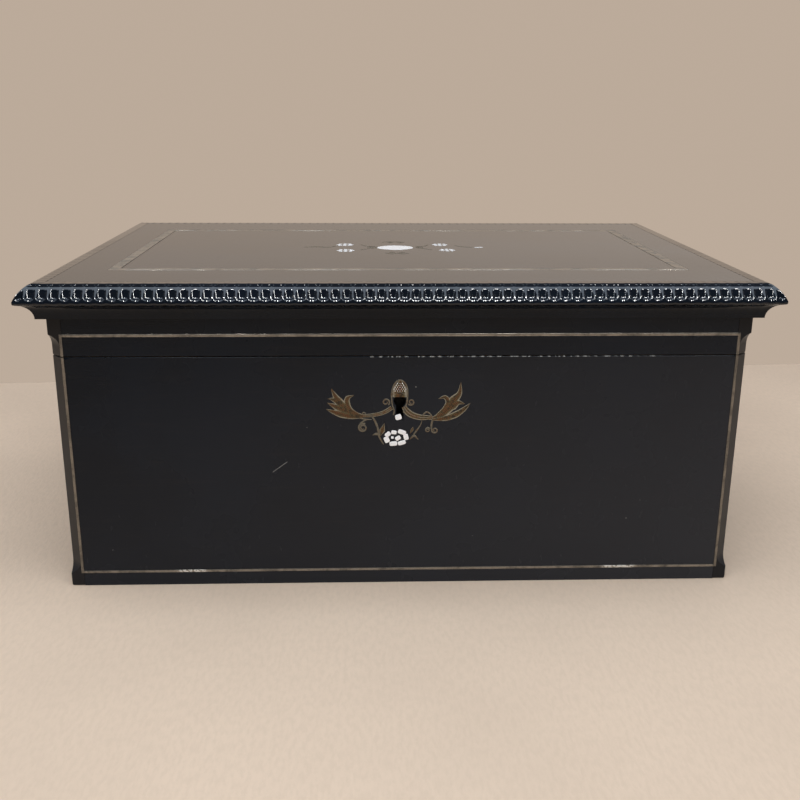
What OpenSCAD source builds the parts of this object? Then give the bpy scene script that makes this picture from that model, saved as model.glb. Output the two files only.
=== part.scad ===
// Ebonised deed box: lidded writing-paper coffer with a fluted cornice,
// chamfered corner posts, brass stringing, brass and pearl inlay, box lock
// and stopped butt hinges. Millimetres, +Z up, front towards -Y, origin at
// the middle of the underside.

/* [Body] */
// Width of the body over its side faces
body_w = 390; // [340:5:440]
// Depth of the body, front to back
body_d = 266; // [230:2:300]
// Height of the body from the rest face to the seam
body_h = 139; // [128:1:180]
// Thickness of the carcass boards
board_t = 12; // [10:0.5:15]
// Thickness of the ebonised veneers
veneer_t = 1.5; // [1:0.1:2]
// Thickness of the bottom board
bottom_t = 8; // [6:0.5:10]
// Height of the underside of the bottom board above the rest face
bottom_lift = 1; // [0.5:0.5:3]
// Thickness of the lining cards
lining_t = 1; // [0.6:0.1:1.5]
// How far the lining stops short of the rim
lining_drop = 3; // [2:0.5:6]

/* [Lid] */
// Gap between the body and the closed lid
seam_gap = 0.5; // [0.3:0.1:0.8]
// Height of the lid's plain wall, from the seam to the cornice
lid_wall_h = 22; // [20:0.5:30]
// Thickness of the lid's panel
panel_t = 8; // [6:0.5:10]
// Angle to which the hinges let the lid open
lid_open = 98; // [92:1:104]

/* [Corner posts] */
// Leg of the corner chamfer
chamfer_leg = 6; // [4:0.5:7]
// Radius of the run-out at a chamfer's end
stop_r = 8; // [6:0.5:10]
// Height at which the chamfer starts above the rest face
stop_low = 8; // [6:0.5:14]
// Height of the square top of a post under the cornice
stop_high = 9.5; // [8:0.5:12]

/* [Cornice] */
// Projection of the cornice's top edge beyond the body
cornice_out = 5; // [4:0.5:7]
// Width of the flat land on top of the cornice
cornice_land = 6.5; // [5.5:0.5:9]
// Height of the cornice
cornice_h = 19.5; // [19:0.5:20]
// Further projection of the nose beyond the top edge
nose_out = 8; // [7.5:0.5:8.5]
// Radius of the convex face
ovolo_r = 18; // [16:0.5:22]
// Height of the upper end of the nose above the cornice's underside
nose_h = 10.8; // [10.5:0.1:11.5]
// Radius of the rounded nose
nose_r = 0.9; // [0.6:0.1:1]
// Radius of the hollow under the nose
cove_r = 9; // [8.5:0.1:9]
// Width of the flutes' spacing
flute_pitch = 6.2; // [5:0.1:8]
// Radius of a flute
flute_r = 1.5; // [1:0.1:2]
// Depth of a flute at the top edge
flute_top = 0.15; // [0.05:0.05:0.4]
// Depth of a flute at the nose
flute_nose = 0.75; // [0.4:0.05:1]

/* [Stringing and inlay] */
// Width of the brass strings on the front
string_w = 1.5; // [1:0.1:2.5]
// Width of the brass band on top of the lid
band_w = 6; // [3:0.5:9]
// Distance from the body's side to the band's outer edge
band_side = 25; // [15:1:50]
// Distance from the body's front to the band's outer edge
band_front = 40; // [15:1:70]
// How far the lock stands left of the middle
lock_left = 2; // [0:0.5:4]

/* [Lock] */
// Height of the keyhole's middle below the seam
keyhole_drop = 26; // [24:1:30]
// Radius of the round part of the keyhole
keyhole_r = 3.5; // [3:0.1:4]
// Width of the keyhole's slot
slot_w = 4.2; // [3:0.1:4.5]
// Length of the keyhole's slot below the middle
slot_l = 11; // [8:0.5:11]
// Half of the width of the lock's case
case_half = 29; // [28:1:34]
// Height of the lock's case
case_h = 42; // [42:1:46]
// Depth of the lock's case, without its plate
case_d = 6.5; // [6:0.1:7]
// Thickness of the lock's sheet
sheet_t = 1.2; // [0.8:0.1:1.5]
// Thickness of the lock plate and of the link plate
plate_t = 1.5; // [1:0.1:2]
// Width of the plate beside the case
plate_side = 9; // [7:0.5:12]
// Height of the plate below the case
plate_low = 4; // [3:0.5:8]
// Travel of the bolt
bolt_throw = 5; // [4:0.5:5]
// Distance of a staple from the lock's middle
staple_x = 15; // [14:0.5:16]

/* [Hinges] */
// Distance of a hinge's middle from the box's side
hinge_side = 80; // [60:5:100]
// Length of a hinge
hinge_l = 50; // [40:5:60]
// Width of a leaf in its mortise
leaf_w = 12; // [10:0.5:13]
// Thickness of a leaf
leaf_t = 1.8; // [1.4:0.1:2]
// Radius of a knuckle
knuckle_r = 2.8; // [2.6:0.1:3]
// Radius of the pin
pin_r = 1.2; // [1:0.1:1.3]
// Distance of the pin from the back face
pin_out = 3; // [3:0.1:4]
// Radius of the stop heels
heel_r = 5; // [4.5:0.1:5.5]

/* [Hidden] */
// Radial clearance of the pin in its knuckles and of screws in their holes
fit = 0.05;
// Play of the moving parts of the lock
play = 0.3;
eps = 0.01;
$fn = 48;

// Screws: radius of the shank, radius of the head, height of the head, length
leaf_screw_size = [1.4, 2.6, 1.4, 13];
lock_screw_size = [1, 2, 1.2, 9];
link_screw_size = [1.2, 2.4, 1.3, 12];
// Distance between the screws of a leaf
leaf_screw_step = 16;
// Distance of a link screw from the lock's middle
link_screw_x = 28;
// Distances of the lock screws below the rim and above the case's foot
lock_screw_drop = 10;
lock_screw_rise = 2;

// Petals of a flower, where it stands below the keyhole, and the flowers' radii:
// of the ring of petals along x and y, of a petal and of the eye
petal_count = 8;
flower_pos = [-2, -21.7];
front_flower_size = [5.3, 3.5, 1.25, 1.5];
lid_flower_size = [4.2, 4.2, 1.5, 1.4];
lid_flower_pos = [34, 12];
lid_oval_size = [12, 9];
lid_tip_x = 56;

// Knuckles of a hinge, the gap between two, and the heels' gap, lead and overlaps
knuckle_count = 5;
knuckle_gap = 0.2;
heel_gap = 0.25;
heel_lead = 1;
web_start = 0.6;
web_over = 0.5;

// Lap of the lock's top plate over the case, and how far the link plate's ends stand back
selvedge_over = 2;
link_inset = 4;
// Staples: width, thickness, reach below the rim, foot under the window, window, room in the plate
loop_w = 4.4;
loop_t = 2.5;
loop_drop = 11.1;
loop_foot = 1.2;
window_h = 5;
window_half = 1.5;
loop_room = 0.75;
// Bolt: drop and height of its bar, gap at the left, right end, and the notch for the key
bar_drop = 13;
bar_h = 7;
bar_gap = 1.5;
bar_end = 21;
notch = [-2.5, 3.5];
notch_h = 3;
// Fingers: how far past a staple's middle a thrown one ends, length, width of the upright, height,
// half thickness, rise
finger_end = 3;
finger_l = 9;
finger_w = 4;
finger_h = 3.6;
finger_half = 1.1;
finger_rise = 1.6;
// Spring: radius and half angle of its bow, thickness of the strip, place, gap at both ends
bow_r = 9;
bow_half = 45;
strip_t = 0.5;
bow_left = 4.6;
spring_gap = 0.1;
// Room round the lock in its pocket, and between its plate and the lining
pocket_gap = 0.2;
lining_gap = 0.5;

// Overlap of a mitred length behind its land, reach of its mitre beyond the nose, overrun of a
// flute's cutter, and how far the hollow's middle lies short of its radius
land_over = 1;
mitre_reach = 10;
flute_over = 4;
cove_shift = 0.5;

half_w = body_w / 2;
half_d = body_d / 2;
lid_z = body_h + seam_gap;
cornice_z = lid_z + lid_wall_h;
top_z = cornice_z + cornice_h;
panel_top = top_z - veneer_t;
panel_z = panel_top - panel_t;
post_w = chamfer_leg + string_w;
board_x = half_w - veneer_t;
board_y = half_d - veneer_t;
inner_x = board_x - board_t;
inner_y = board_y - board_t;
field_x = half_w - post_w;
field_z = stop_low + string_w;
frieze_z = cornice_z - stop_high;
edge_x = half_w + cornice_out;
edge_y = half_d + cornice_out;
land_x = edge_x - cornice_land;
land_y = edge_y - cornice_land;
band_x = half_w - band_side;
band_y = half_d - band_front;
floor_z = bottom_lift + bottom_t;
lock_x = -lock_left;
keyhole_z = body_h - keyhole_drop;
plate_half = case_half + plate_side;
plate_y = -inner_y - plate_t;
case_y = plate_y - case_d;
selvedge_y = case_y - selvedge_over;
case_z = body_h - case_h;
pin_y = half_d + pin_out;
pin_z = body_h + seam_gap / 2;
hinge_x = half_w - hinge_side;
heel_low_r = knuckle_r + heel_gap;
heel_face = lid_open / 2 + heel_lead;
loop_y = (case_y + sheet_t + plate_y) / 2;
loop_low = body_h - loop_drop;
bar_high = body_h - bar_drop;
bar_low = bar_high - bar_h;
lock_screw_z = [body_h - lock_screw_drop, case_z + lock_screw_rise];

// Depth of the chamfer, square to its face, and the height over which it runs out
chamfer_depth = chamfer_leg / sqrt(2);
stop_run = sqrt(pow(stop_r, 2) - pow(stop_r - chamfer_depth, 2));

// The cornice's chord, from its top edge to its nose, and the middle of its convex arc
chord = [nose_out, nose_h - cornice_h];
chord_l = norm(chord);
chord_dir = chord / chord_l;
chord_normal = [-chord_dir[1], chord_dir[0]];
ovolo_centre = [0, cornice_h] + chord / 2 - chord_normal * sqrt(pow(ovolo_r, 2) - pow(chord_l / 2, 2));

ebony = [0.07, 0.065, 0.06];
brass = [0.62, 0.49, 0.26];
pearl = [0.92, 0.91, 0.86];
pine = [0.68, 0.5, 0.31];
paper = [0.42, 0.1, 0.12];
steel = [0.45, 0.45, 0.47];

// General helpers

// A block given by its lowest and highest corners
module block(low, high) {
    translate(low) cube(high - low);
}

// A shape drawn in x and z, as thick as t, with its front at y
module upright(y, t) {
    translate([0, y + t, 0]) rotate([90, 0, 0]) linear_extrude(t) children();
}

// A wood screw with its head's face at z = 0, pointing down, or its hole, wider by grow
module screw(size, grow) {
    shank_r = size[0] + grow;
    head_r = size[1] + grow;
    head_h = size[2];
    length = size[3];
    translate([0, 0, -head_h]) cylinder(h = head_h, r1 = shank_r, r2 = head_r);
    translate([0, 0, -length]) cylinder(h = length - head_h + eps, r = shank_r);
}

// The keyhole's outline, about the middle of its round part
module keyhole_outline() {
    circle(keyhole_r);
    translate([-slot_w / 2, -slot_l]) square([slot_w, slot_l]);
}

module keyhole_cut(y, t) {
    translate([lock_x, 0, keyhole_z]) upright(y, t) keyhole_outline();
}

// Inlay outlines, drawn about the middle of the keyhole

// A band along an arc, from one angle to another
module arc_band(centre, r, w, from, to) {
    reach = 2 * r;
    translate(centre) intersection() {
        difference() {
            circle(r + w / 2);
            circle(r - w / 2);
        }
        polygon([
            [0, 0],
            reach * [cos(from), sin(from)],
            reach * [cos((2 * from + to) / 3), sin((2 * from + to) / 3)],
            reach * [cos((from + 2 * to) / 3), sin((from + 2 * to) / 3)],
            reach * [cos(to), sin(to)]
        ]);
    }
}

module curl(centre, r, w) {
    arc_band(centre, r, w, -160, 130);
}

module left_leaf() {
    polygon([
        [-21, -9.2], [-25, -7], [-27.8, -3], [-28.6, 1], [-26, 3.8], [-31, 2.6], [-33, 0.8],
        [-35.4, 4.2], [-39.6, 7.6], [-38.4, 2], [-40.6, -1.2], [-38.6, -3], [-41, -5.2], [-36, -8.4],
        [-29, -10.4], [-21, -10.8]
    ]);
}

module right_leaf() {
    polygon([
        [18, -9.2], [23, -5.6], [25.8, -1.6], [26, 1.2], [22, 1.2], [25.6, 3.2], [28, 0.6], [30.4, 3.8],
        [33.4, 6], [34.6, 11.2], [35.8, 8], [34.4, 3.2], [33, 0.4], [35.6, -1.4], [33.4, -3.4], [39.4, -2.6],
        [35, -7.4], [28.6, -10.8], [18, -12]
    ]);
}

module shell_cresting() {
    difference() {
        union() {
            translate([-5.4, -4]) square([10.4, 10]);
            translate([-0.2, 6]) circle(5.6);
        }
        translate([-10, -5]) square([4.6, 20]);
    }
}

// Arms, leaves, cresting, volutes, curls and stems of the brass inlay
module brass_outline() {
    difference() {
        union() {
            arc_band([-19, 14.5], 23.4, 2.6, -102, -50);
            arc_band([17, 8.5], 19.4, 2.8, -137, -82);
            left_leaf();
            right_leaf();
            shell_cresting();
            curl([-8.4, -0.2], 1.7, 1);
            curl([6.2, -0.8], 1.5, 0.9);
            curl([16.4, -9], 1.8, 1.1);
            curl([-20.8, -15.6], 2.6, 1.5);
            curl([16, -17.2], 1.2, 0.8);
            curl([20, -17.6], 1.6, 0.9);
            arc_band([27, -14], 9.8, 1, 165, 190);
            polygon([
                [-15.6, -9.6], [-14, -10], [-11.6, -17], [-11.2, -21], [-9.2, -25.4], [-12, -21], [-12.8, -16.6]
            ]);
            polygon([[-11.8, -17], [-9, -13.6], [-8.4, -16.6], [-9.6, -19.6]]);
            polygon([[-15.8, -20], [-13.2, -18.8], [-11.8, -21], [-13.6, -20.6]]);
            polygon([[11.2, -16], [10.2, -16.2], [8, -19], [6.8, -22.4], [9, -19.8]]);
            polygon([[7, -16], [6, -18.4], [7.4, -19.6], [8, -17.4]]);
            polygon([[10.6, -22.6], [8.4, -20.4], [7, -21.6], [9, -21.8]]);
        }
        keyhole_outline();
    }
}

// Petals round the flower, and its eye
module flower_outline(size) {
    for (i = [0 : petal_count - 1]) {
        angle = i * 360 / petal_count;
        translate([size[0] * cos(angle), size[1] * sin(angle)]) circle(size[2]);
    }
    circle(size[3]);
}

module front_flower() {
    translate(flower_pos) flower_outline(front_flower_size);
}

// Inlay of the lid, about the middle of its field
module lid_oval() {
    polygon([for (a = [0 : 10 : 350]) [lid_oval_size[0] * cos(a), lid_oval_size[1] * sin(a)]]);
}

module lid_flowers() {
    for (sx = [-1, 1]) {
        for (sy = [-1, 1]) {
            translate([sx * lid_flower_pos[0], sy * lid_flower_pos[1]]) flower_outline(lid_flower_size);
        }
    }
}

module lid_pearl_outline() {
    lid_oval();
    lid_flowers();
    for (s = [-1, 1]) {
        translate([s * lid_tip_x, 0]) polygon([[-3, 0], [0, 1.4], [3, 0], [0, -1.4]]);
    }
}

module lid_scroll_outline() {
    difference() {
        union() {
            for (s = [-1, 1]) {
                arc_band([0, s * 10], 13, 1.4, s * 90 - 50, s * 90 + 50);
                translate([-4, s * 25]) circle(2);
                translate([4, s * 25]) circle(2);
                translate([0, s * 27]) circle(2.2);
                arc_band([s * 17, 0], 4, 1.2, -120, 120);
                arc_band([s * 25, 0], 6, 1.2, 30, 150);
                arc_band([s * 25, 0], 6, 1.2, 210, 330);
            }
            polygon([[-52, 0], [-42, 2], [-40, 0], [-42, -2]]);
            polygon([[52, 0], [42, 2], [40, 0], [42, -2]]);
        }
        lid_pearl_outline();
    }
}

// Corner posts

// The chamfer between two heights: run-outs at the ends named in stops
module chamfer_cut(corner_x, corner_y, low, high, stop_z) {
    translate([corner_x, corner_y, 0])
        rotate([0, 0, atan2(-corner_y / abs(corner_y), -corner_x / abs(corner_x))])
            rotate([90, 0, 0])
                linear_extrude(4 * chamfer_leg, center = true) {
                    translate([chamfer_depth - stop_r, low]) square([stop_r, high - low]);
                    translate([chamfer_depth - stop_r, stop_z]) circle(stop_r);
                }
}

module square_post(sx, sy, width, reach_x, reach_y, low, high) {
    x = sx * reach_x;
    y = sy * reach_y;
    block([min(x, x - sx * width), min(y, y - sy * width), low],
          [max(x, x - sx * width), max(y, y - sy * width), high]);
}

module string_rebate(low, high) {
    for (s = [-1, 1]) {
        block([s * (field_x + string_w / 2) - string_w / 2, -half_d - 1, low],
              [s * (field_x + string_w / 2) + string_w / 2, -half_d + veneer_t, high]);
    }
}

module body_post(sx, sy) {
    plateau = stop_low + stop_run;
    color(ebony) difference() {
        square_post(sx, sy, post_w, half_w, half_d, 0, body_h);
        chamfer_cut(sx * half_w, sy * half_d, plateau, body_h + 5, plateau);
        string_rebate(stop_low, body_h + 1);
    }
}

module lid_post(sx, sy) {
    plateau = frieze_z - stop_run;
    color(ebony) difference() {
        union() {
            square_post(sx, sy, post_w, half_w, half_d, lid_z, cornice_z);
            square_post(sx, sy, post_w - veneer_t, board_x, board_y, lid_z, panel_z);
        }
        chamfer_cut(sx * half_w, sy * half_d, lid_z - 5, plateau, plateau);
        string_rebate(lid_z - 1, frieze_z);
    }
}

// Boards and rails: a front or back wall, and a side wall that laps behind the posts

module cross_wall(sy, low, high) {
    block([-field_x, min(sy * board_y, sy * inner_y), low], [field_x, max(sy * board_y, sy * inner_y), high]);
}

module side_wall(sx, low, high) {
    block([min(sx * board_x, sx * inner_x), -inner_y, low], [max(sx * board_x, sx * inner_x), inner_y, high]);
    for (sy = [-1, 1]) {
        block([min(sx * board_x, sx * field_x), min(sy * (half_d - post_w), sy * inner_y), low],
              [max(sx * board_x, sx * field_x), max(sy * (half_d - post_w), sy * inner_y), high]);
    }
}

module side_veneer(sx, low, high) {
    block([min(sx * half_w, sx * board_x), -half_d + post_w, low],
          [max(sx * half_w, sx * board_x), half_d - post_w, high]);
}

module front_skin(low, high) {
    block([-field_x, -half_d, low], [field_x, -half_d + veneer_t, high]);
}

module back_skin(low, high) {
    block([-field_x, half_d - veneer_t, low], [field_x, half_d, high]);
}

// Hinges

// Middle of a hinge, for both hinges in turn
module each_hinge() {
    for (s = [-1, 1]) {
        translate([s * hinge_x, 0, 0]) children();
    }
}

module leaf_plate(low_z) {
    block([-hinge_l / 2, half_d - leaf_w, low_z], [hinge_l / 2, half_d, low_z + leaf_t]);
}

module leaf_mortises(low_z) {
    each_hinge() block([-hinge_l / 2, half_d - leaf_w, low_z], [hinge_l / 2, half_d + 1, low_z + leaf_t]);
}

// A slice of ring about the pin, seen along x, between two angles above the level
module heel_slice(r_in, r_out, from, to, low_x, high_x) {
    translate([low_x, pin_y, pin_z]) rotate([90, 0, 90]) linear_extrude(high_x - low_x)
        intersection() {
            difference() {
                circle(r_out);
                circle(r_in);
            }
            polygon([[0, 0], 3 * r_out * [cos(from), sin(from)], 3 * r_out * [cos(to), sin(to)]]);
        }
}

// The leaf with its knuckles, tongues and stop heel; side is 1 above the seam, -1 below
module hinge_leaf(plate_z, first, side) {
    pitch = hinge_l / knuckle_count;
    from = side > 0 ? heel_face : -90;
    to = side > 0 ? 90 : -heel_face;
    color(brass) difference() {
        union() {
            leaf_plate(plate_z);
            for (i = [first : 2 : knuckle_count - 1]) {
                x0 = -hinge_l / 2 + i * pitch + knuckle_gap / 2;
                x1 = x0 + pitch - knuckle_gap;
                block([x0, half_d - eps, plate_z], [x1, pin_y, plate_z + leaf_t]);
                translate([x0, pin_y, pin_z]) rotate([0, 90, 0]) cylinder(h = x1 - x0, r = knuckle_r);
                heel_slice(pin_r + web_start, heel_low_r + web_over, from, to, x0, x1);
            }
            heel_slice(heel_low_r, heel_r, from, to, -hinge_l / 2, hinge_l / 2);
        }
        translate([-hinge_l / 2 - 1, pin_y, pin_z]) rotate([0, 90, 0]) cylinder(h = hinge_l + 2, r = pin_r + fit);
        leaf_screw_places() leaf_screw(plate_z, side, fit);
    }
}

module leaf_screw_places() {
    for (i = [-1, 0, 1]) {
        translate([i * leaf_screw_step, half_d - leaf_w / 2, 0]) children();
    }
}

// The screw's head lies in the face of the leaf that meets the seam
module leaf_screw(plate_z, side, grow) {
    if (side > 0) {
        translate([0, 0, plate_z]) mirror([0, 0, 1]) screw(leaf_screw_size, grow);
    } else {
        translate([0, 0, plate_z + leaf_t]) screw(leaf_screw_size, grow);
    }
}

module hinge_pin() {
    color(brass) translate([-hinge_l / 2, pin_y, pin_z]) rotate([0, 90, 0]) cylinder(h = hinge_l, r = pin_r);
}

// Lock

module lock_pocket() {
    block([lock_x - case_half - pocket_gap, case_y - pocket_gap, case_z - pocket_gap],
          [lock_x + case_half + pocket_gap, plate_y, body_h + 1]);
    plate_shape(1);
}

// The plate on the board's inner face and the selvedge on its top edge
module plate_shape(over) {
    block([lock_x - plate_half, plate_y, case_z - plate_low], [lock_x + plate_half, -inner_y, body_h]);
    block([lock_x - plate_half, selvedge_y, body_h - plate_t], [lock_x + plate_half, -inner_y, body_h]);
    if (over > 0) {
        block([lock_x - plate_half, selvedge_y, body_h - plate_t],
              [lock_x + plate_half, -inner_y + over, body_h + over]);
    }
}

module lock_screw_places() {
    for (s = [-1, 1]) {
        for (z = lock_screw_z) {
            translate([lock_x + s * (plate_half - plate_side / 2), -inner_y, z]) rotate([-90, 0, 0]) children();
        }
    }
}

module lock_screw(grow) {
    screw(lock_screw_size, grow);
}

module link_screw_places() {
    for (s = [-1, 1]) {
        translate([lock_x + s * link_screw_x, (selvedge_y - inner_y) / 2, lid_z]) mirror([0, 0, 1]) children();
    }
}

module link_screw(grow) {
    screw(link_screw_size, grow);
}

// A staple with the window that the bolt's finger enters along x
module staple_loop() {
    window_low = loop_low + loop_foot;
    difference() {
        block([-loop_t / 2, loop_y - loop_w / 2, loop_low], [loop_t / 2, loop_y + loop_w / 2, lid_z + eps]);
        block([-loop_t, loop_y - window_half, window_low], [loop_t, loop_y + window_half, window_low + window_h]);
    }
}

// Cornice

// The cornice's section: x outwards from its top edge, y up from its underside
module cornice_section() {
    bead_z = nose_h - nose_r;
    intersection() {
        translate(ovolo_centre) circle(ovolo_r, $fn = 96);
        translate([-cornice_land, bead_z]) square([cornice_land + nose_out, cornice_h - bead_z]);
    }
    translate([nose_out - nose_r, bead_z]) circle(nose_r);
    difference() {
        translate([-cornice_land, 0]) square([cornice_land + nose_out - nose_r, bead_z + eps]);
        translate([cove_r - cove_shift, 0]) circle(cove_r, $fn = 96);
    }
}

// One flute: a round cutter laid along the convex face, shallow at the top edge
module flute() {
    from = [0, cornice_h] + chord_normal * (flute_r - flute_top) - flute_over * chord_dir;
    to = [nose_out, nose_h] + chord_normal * (flute_r - flute_nose) + flute_over * chord_dir;
    run = to - from;
    translate([0, from[0], from[1]]) rotate([-90 + atan2(run[1], run[0]), 0, 0])
        cylinder(h = norm(run), r = flute_r, $fn = 24);
}

// A mitred length whose top edge lies at y = out, with its nose 2 * reach long
module cornice_length(half_edge, out) {
    nose_l = 2 * (half_edge + nose_out);
    count = round(nose_l / flute_pitch);
    step = nose_l / count;
    inset = cornice_land + land_over;
    color(ebony) translate([0, 0, cornice_z]) intersection() {
        difference() {
            translate([0, out, 0]) rotate([90, 0, 90]) linear_extrude(nose_l, center = true) cornice_section();
            for (i = [1 : count - 2]) {
                translate([-nose_l / 2 + (i + 0.5) * step, out, 0]) flute();
            }
        }
        translate([0, 0, -1]) linear_extrude(cornice_h + 2) polygon([
            [-half_edge + inset, out - inset], [half_edge - inset, out - inset],
            [half_edge + mitre_reach, out + mitre_reach], [-half_edge - mitre_reach, out + mitre_reach]
        ]);
    }
}

// A flat frame of four mitred strips between an outer and an inner rectangle
module mitred_frame(out_x, out_y, in_x, in_y, low, high) {
    for (s = [-1, 1]) {
        translate([0, 0, low]) linear_extrude(high - low) {
            polygon([[-out_x, s * out_y], [out_x, s * out_y], [in_x, s * in_y], [-in_x, s * in_y]]);
        }
        translate([0, 0, low]) linear_extrude(high - low) {
            polygon([[s * out_x, -out_y], [s * out_x, out_y], [s * in_x, in_y], [s * in_x, -in_y]]);
        }
    }
}

// Pieces of the body

module body_front_board() {
    color(pine) difference() {
        cross_wall(-1, 0, body_h);
        lock_pocket();
        keyhole_cut(-half_d, board_t + veneer_t);
        lock_screw_places() lock_screw(fit);
    }
}

module body_back_board() {
    color(pine) difference() {
        cross_wall(1, 0, body_h);
        leaf_mortises(body_h - leaf_t);
        each_hinge() leaf_screw_places() leaf_screw(body_h - leaf_t, -1, fit);
    }
}

module body_left_board() {
    color(pine) side_wall(-1, 0, body_h);
}

module body_right_board() {
    color(pine) side_wall(1, 0, body_h);
}

module bottom_board() {
    color(pine) block([-inner_x, -inner_y, bottom_lift], [inner_x, inner_y, floor_z]);
}

module body_front_veneer() {
    color(ebony) difference() {
        front_skin(field_z, body_h);
        keyhole_cut(-half_d - 1, veneer_t + 2);
        translate([lock_x, 0, keyhole_z]) upright(-half_d - 1, veneer_t + 2) {
            brass_outline();
            front_flower();
        }
    }
}

module body_front_base_strip() {
    color(ebony) front_skin(0, stop_low);
}

module body_back_veneer() {
    color(ebony) difference() {
        back_skin(0, body_h);
        leaf_mortises(body_h - leaf_t);
    }
}

module body_left_veneer() {
    color(ebony) side_veneer(-1, 0, body_h);
}

module body_right_veneer() {
    color(ebony) side_veneer(1, 0, body_h);
}

module body_post_front_left() {
    body_post(-1, -1);
}

module body_post_front_right() {
    body_post(1, -1);
}

module body_post_back_left() {
    body_post(-1, 1);
}

module body_post_back_right() {
    body_post(1, 1);
}

module body_strings() {
    color(brass) {
        for (s = [-1, 1]) {
            x = s * (field_x + string_w / 2);
            block([x - string_w / 2, -half_d, field_z], [x + string_w / 2, -half_d + veneer_t, body_h]);
        }
        block([-field_x - string_w, -half_d, stop_low], [field_x + string_w, -half_d + veneer_t, field_z]);
    }
}

module keyhole_inlay() {
    color(brass) translate([lock_x, 0, keyhole_z]) upright(-half_d, veneer_t) difference() {
        brass_outline();
        front_flower();
    }
}

module pearl_flower() {
    color(pearl) translate([lock_x, 0, keyhole_z]) upright(-half_d, veneer_t) front_flower();
}

module body_wall_lining() {
    rim = body_h - lining_drop;
    color(paper) {
        difference() {
            block([-inner_x, -inner_y, floor_z], [inner_x, -inner_y + lining_t, rim]);
            block([lock_x - plate_half - lining_gap, -inner_y - 1, case_z - plate_low - lining_gap],
                  [lock_x + plate_half + lining_gap, -inner_y + lining_t + 1, rim + 1]);
        }
        block([-inner_x, inner_y - lining_t, floor_z], [inner_x, inner_y, rim]);
        for (s = [-1, 1]) {
            x = s * (inner_x - lining_t / 2);
            block([x - lining_t / 2, -inner_y + lining_t, floor_z], [x + lining_t / 2, inner_y - lining_t, rim]);
        }
    }
}

module body_floor_lining() {
    color(paper) block([-inner_x + lining_t, -inner_y + lining_t, floor_z],
                       [inner_x - lining_t, inner_y - lining_t, floor_z + lining_t]);
}

// Pieces of the lock

module lock_plate() {
    color(brass) difference() {
        plate_shape(0);
        for (s = [-1, 1]) {
            x = lock_x + s * staple_x;
            block([x - loop_t / 2 - loop_room, case_y + sheet_t, body_h - plate_t - 1],
                  [x + loop_t / 2 + loop_room, plate_y, body_h + 1]);
        }
        lock_screw_places() lock_screw(fit);
    }
}

module lock_case() {
    color(steel) difference() {
        block([lock_x - case_half, case_y, case_z], [lock_x + case_half, plate_y, body_h - plate_t]);
        block([lock_x - case_half + sheet_t, case_y + sheet_t, case_z + sheet_t],
              [lock_x + case_half - sheet_t, plate_y + 1, body_h]);
        keyhole_cut(case_y - 1, sheet_t + 2);
    }
}

// The bar, its two hooked fingers and the notch that the key turns in
module lock_bolt() {
    low_y = case_y + sheet_t + play;
    high_y = plate_y - play;
    finger_low = loop_low + finger_rise;
    finger_high = finger_low + finger_h;
    color(brass) difference() {
        union() {
            block([lock_x - case_half + sheet_t + bar_gap, low_y, bar_low], [lock_x + bar_end, high_y, bar_high]);
            for (s = [-1, 1]) {
                to = lock_x + s * staple_x + finger_end - bolt_throw;
                from = to - finger_l;
                block([from, low_y, bar_high - eps], [from + finger_w, high_y, finger_high]);
                block([from, loop_y - finger_half, finger_low], [to, loop_y + finger_half, finger_high]);
            }
        }
        block([lock_x + notch[0], low_y - 1, bar_low - 1], [lock_x + notch[1], high_y + 1, bar_low + notch_h]);
    }
}

// A strip hooked under the selvedge, bowed down on the bolt's bar
module lock_spring() {
    bow_x = lock_x - bow_left;
    bow_z = bar_high + spring_gap + bow_r + strip_t / 2;
    end_x = bow_x - bow_r * sin(bow_half);
    end_z = bow_z - bow_r * cos(bow_half) - strip_t / 2;
    color(steel) upright(case_y + sheet_t + play, case_d - sheet_t - 2 * play) {
        arc_band([bow_x, bow_z], bow_r, strip_t, 270 - bow_half, 270 + bow_half);
        translate([end_x - strip_t / 2, end_z]) square([strip_t, body_h - plate_t - spring_gap - end_z]);
    }
}

module lock_screws() {
    color(brass) lock_screw_places() lock_screw(0);
}

module link_plate() {
    color(brass) difference() {
        union() {
            block([lock_x - plate_half + link_inset, selvedge_y, lid_z],
                  [lock_x + plate_half - link_inset, -inner_y, lid_z + plate_t]);
            for (s = [-1, 1]) {
                translate([lock_x + s * staple_x, 0, 0]) staple_loop();
            }
        }
        link_screw_places() link_screw(fit);
    }
}

module link_plate_screws() {
    color(brass) link_screw_places() link_screw(0);
}

// Pieces of the hinges

module left_hinge_body_leaf() {
    translate([-hinge_x, 0, 0]) hinge_leaf(body_h - leaf_t, 0, -1);
}

module right_hinge_body_leaf() {
    translate([hinge_x, 0, 0]) hinge_leaf(body_h - leaf_t, 0, -1);
}

module left_hinge_lid_leaf() {
    translate([-hinge_x, 0, 0]) hinge_leaf(lid_z, 1, 1);
}

module right_hinge_lid_leaf() {
    translate([hinge_x, 0, 0]) hinge_leaf(lid_z, 1, 1);
}

module left_hinge_pin() {
    translate([-hinge_x, 0, 0]) hinge_pin();
}

module right_hinge_pin() {
    translate([hinge_x, 0, 0]) hinge_pin();
}

module hinge_body_screws() {
    color(brass) each_hinge() leaf_screw_places() leaf_screw(body_h - leaf_t, -1, 0);
}

module hinge_lid_screws() {
    color(brass) each_hinge() leaf_screw_places() leaf_screw(lid_z, 1, 0);
}

// Pieces of the lid

module lid_front_rail() {
    color(pine) difference() {
        cross_wall(-1, lid_z, panel_z);
        block([lock_x - plate_half + link_inset, selvedge_y, lid_z - 1],
              [lock_x + plate_half - link_inset, -inner_y + 1, lid_z + plate_t]);
        link_screw_places() link_screw(fit);
    }
}

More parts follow.
